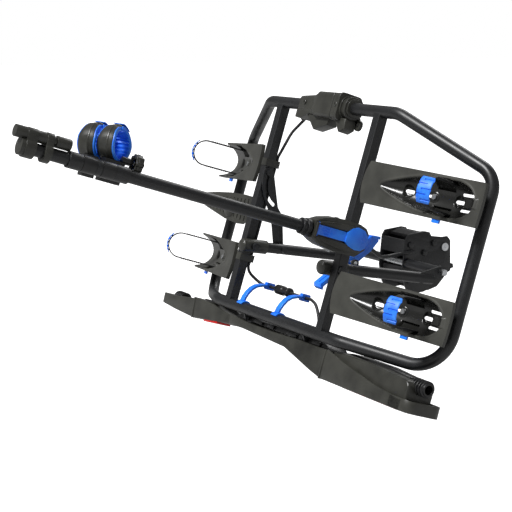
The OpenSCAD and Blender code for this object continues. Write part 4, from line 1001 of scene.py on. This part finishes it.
def braceRib(x, length, high):
    foot, slant = braceRibs["foot"], braceRibs["slant"]
    outline = [(x, foot), (x + length, foot), (x + length, foot + high), (x + slant, foot + high)]
    return boardSlab("braceRib", outline, braceRibs["top"], braceRibs["bottom"], braceRibs["edge"])


finishBoard("boardMiddle", [boardPart("boardFace")], "dark_plastic", ["board_panel"])
finishBoard("boardUnits", [
    boardPart("unitLeft"), boardPart("unitSeamLeft"), boardPart("unitBand"), boardPart("unitSeam"), makeBoardEnd(),
    boardPart("boardFloor"),
], "dark_plastic", ["lamp_shells"])
finishBoard("lampBlocks", [boardPart("lampBlock")], "dark_plastic", ["lamp_bodies"])
finishBoard("lampLenses", [boardPart("lensLeft"), boardPart("lensRight")], "red_lens", ["lamp_lenses"])
ribs = [braceRib(*row) for row in braceRibs["rows"]]
finishBoard("boardBrace", [boardPart("braceWeb")] + ribs + [boardPart("braceWing"), boardPart("braceWingLeft")],
            "black_plastic")
print("lamp board done")

# Camera, light and floor

viewFrom = {
    "place": (2.932, -2.056, 0.643), "along": (-0.8625, 0.4798, -0.1611), "focalPixels": 1450, "frame": 512,
    "sensor": 36,
}

cameraData = bpy.data.cameras.new("camera")
cameraData.sensor_width = viewFrom["sensor"]
cameraData.lens = viewFrom["focalPixels"] / viewFrom["frame"] * cameraData.sensor_width
camera = bpy.data.objects.new("camera", cameraData)
bpy.context.scene.collection.objects.link(camera)
camera.location = viewFrom["place"]
camera.rotation_mode = "QUATERNION"
camera.rotation_quaternion = Vector(viewFrom["along"]).to_track_quat("-Z", "Y")
bpy.context.scene.camera = camera

studio = {
    "floorZ": -0.45, "floorSize": 60, "floorGreys": [(0.3, 0.42), (0.7, 0.45)], "cloudSize": 900,
    "backdrop": 1.0, "ambient": 0.26, "sunStrength": 3.8, "sunAngle": 14.0, "sunAlong": (-0.1, 1.0, -1.3),
    "rimPower": 40, "rimSize": 2.0, "rimPlace": (-1.5, 2.2, 2.8), "rimTarget": (0, -0.3, 0.2),
}

# The floor and the sky show plain white to the camera, and light the rack far less
floor = newPiece("floor", bpy.ops.mesh.primitive_plane_add, size=studio["floorSize"],
                 location=(0, 0, studio["floorZ"]))
floorMaterial, floorShader, floorPlace = startMaterial("paleFloor", Roughness=0.9)
cloud = addNode(floorMaterial, "TexNoise", grains(studio["cloudSize"], 2.0), {"Vector": floorPlace})
floorShader.inputs["Emission Color"].default_value = (1, 1, 1, 1)
wire(floorMaterial, floorShader, {
    "Base Color": addNode(floorMaterial, "ValToRGB", {"stops": studio["floorGreys"]}, {"Fac": cloud}),
    "Emission Strength": addNode(floorMaterial, "LightPath").outputs["Is Camera Ray"],
})
floor.data.materials.append(floorMaterial)
floor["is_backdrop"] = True


def addLight(name, kind, place, target, **settings):
    data = bpy.data.lights.new(name, kind)
    for key, value in settings.items():
        setattr(data, key, value)
    light = bpy.data.objects.new(name, data)
    bpy.context.scene.collection.objects.link(light)
    light.location = place
    light.rotation_mode = "QUATERNION"
    light.rotation_quaternion = (Vector(target) - Vector(place)).to_track_quat("-Z", "Y")


addLight("keySun", "SUN", (0, 0, 0), studio["sunAlong"], energy=studio["sunStrength"],
         angle=math.radians(studio["sunAngle"]))
addLight("rimLight", "AREA", studio["rimPlace"], studio["rimTarget"], energy=studio["rimPower"],
         size=studio["rimSize"])

world = bpy.data.worlds.new("studioWorld")
bpy.context.scene.world = world
world.use_nodes = True
sky = world.node_tree.nodes["Background"]
sky.inputs["Color"].default_value = (1, 1, 1, 1)
seen = addNode(world, "LightPath").outputs["Is Camera Ray"]
levels = {"To Min": studio["ambient"], "To Max": studio["backdrop"]}
wire(world, sky, {"Strength": addNode(world, "MapRange", levels, {"Value": seen})})
bpy.context.scene.view_settings.view_transform = "Standard"
print("stage done")

low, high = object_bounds()
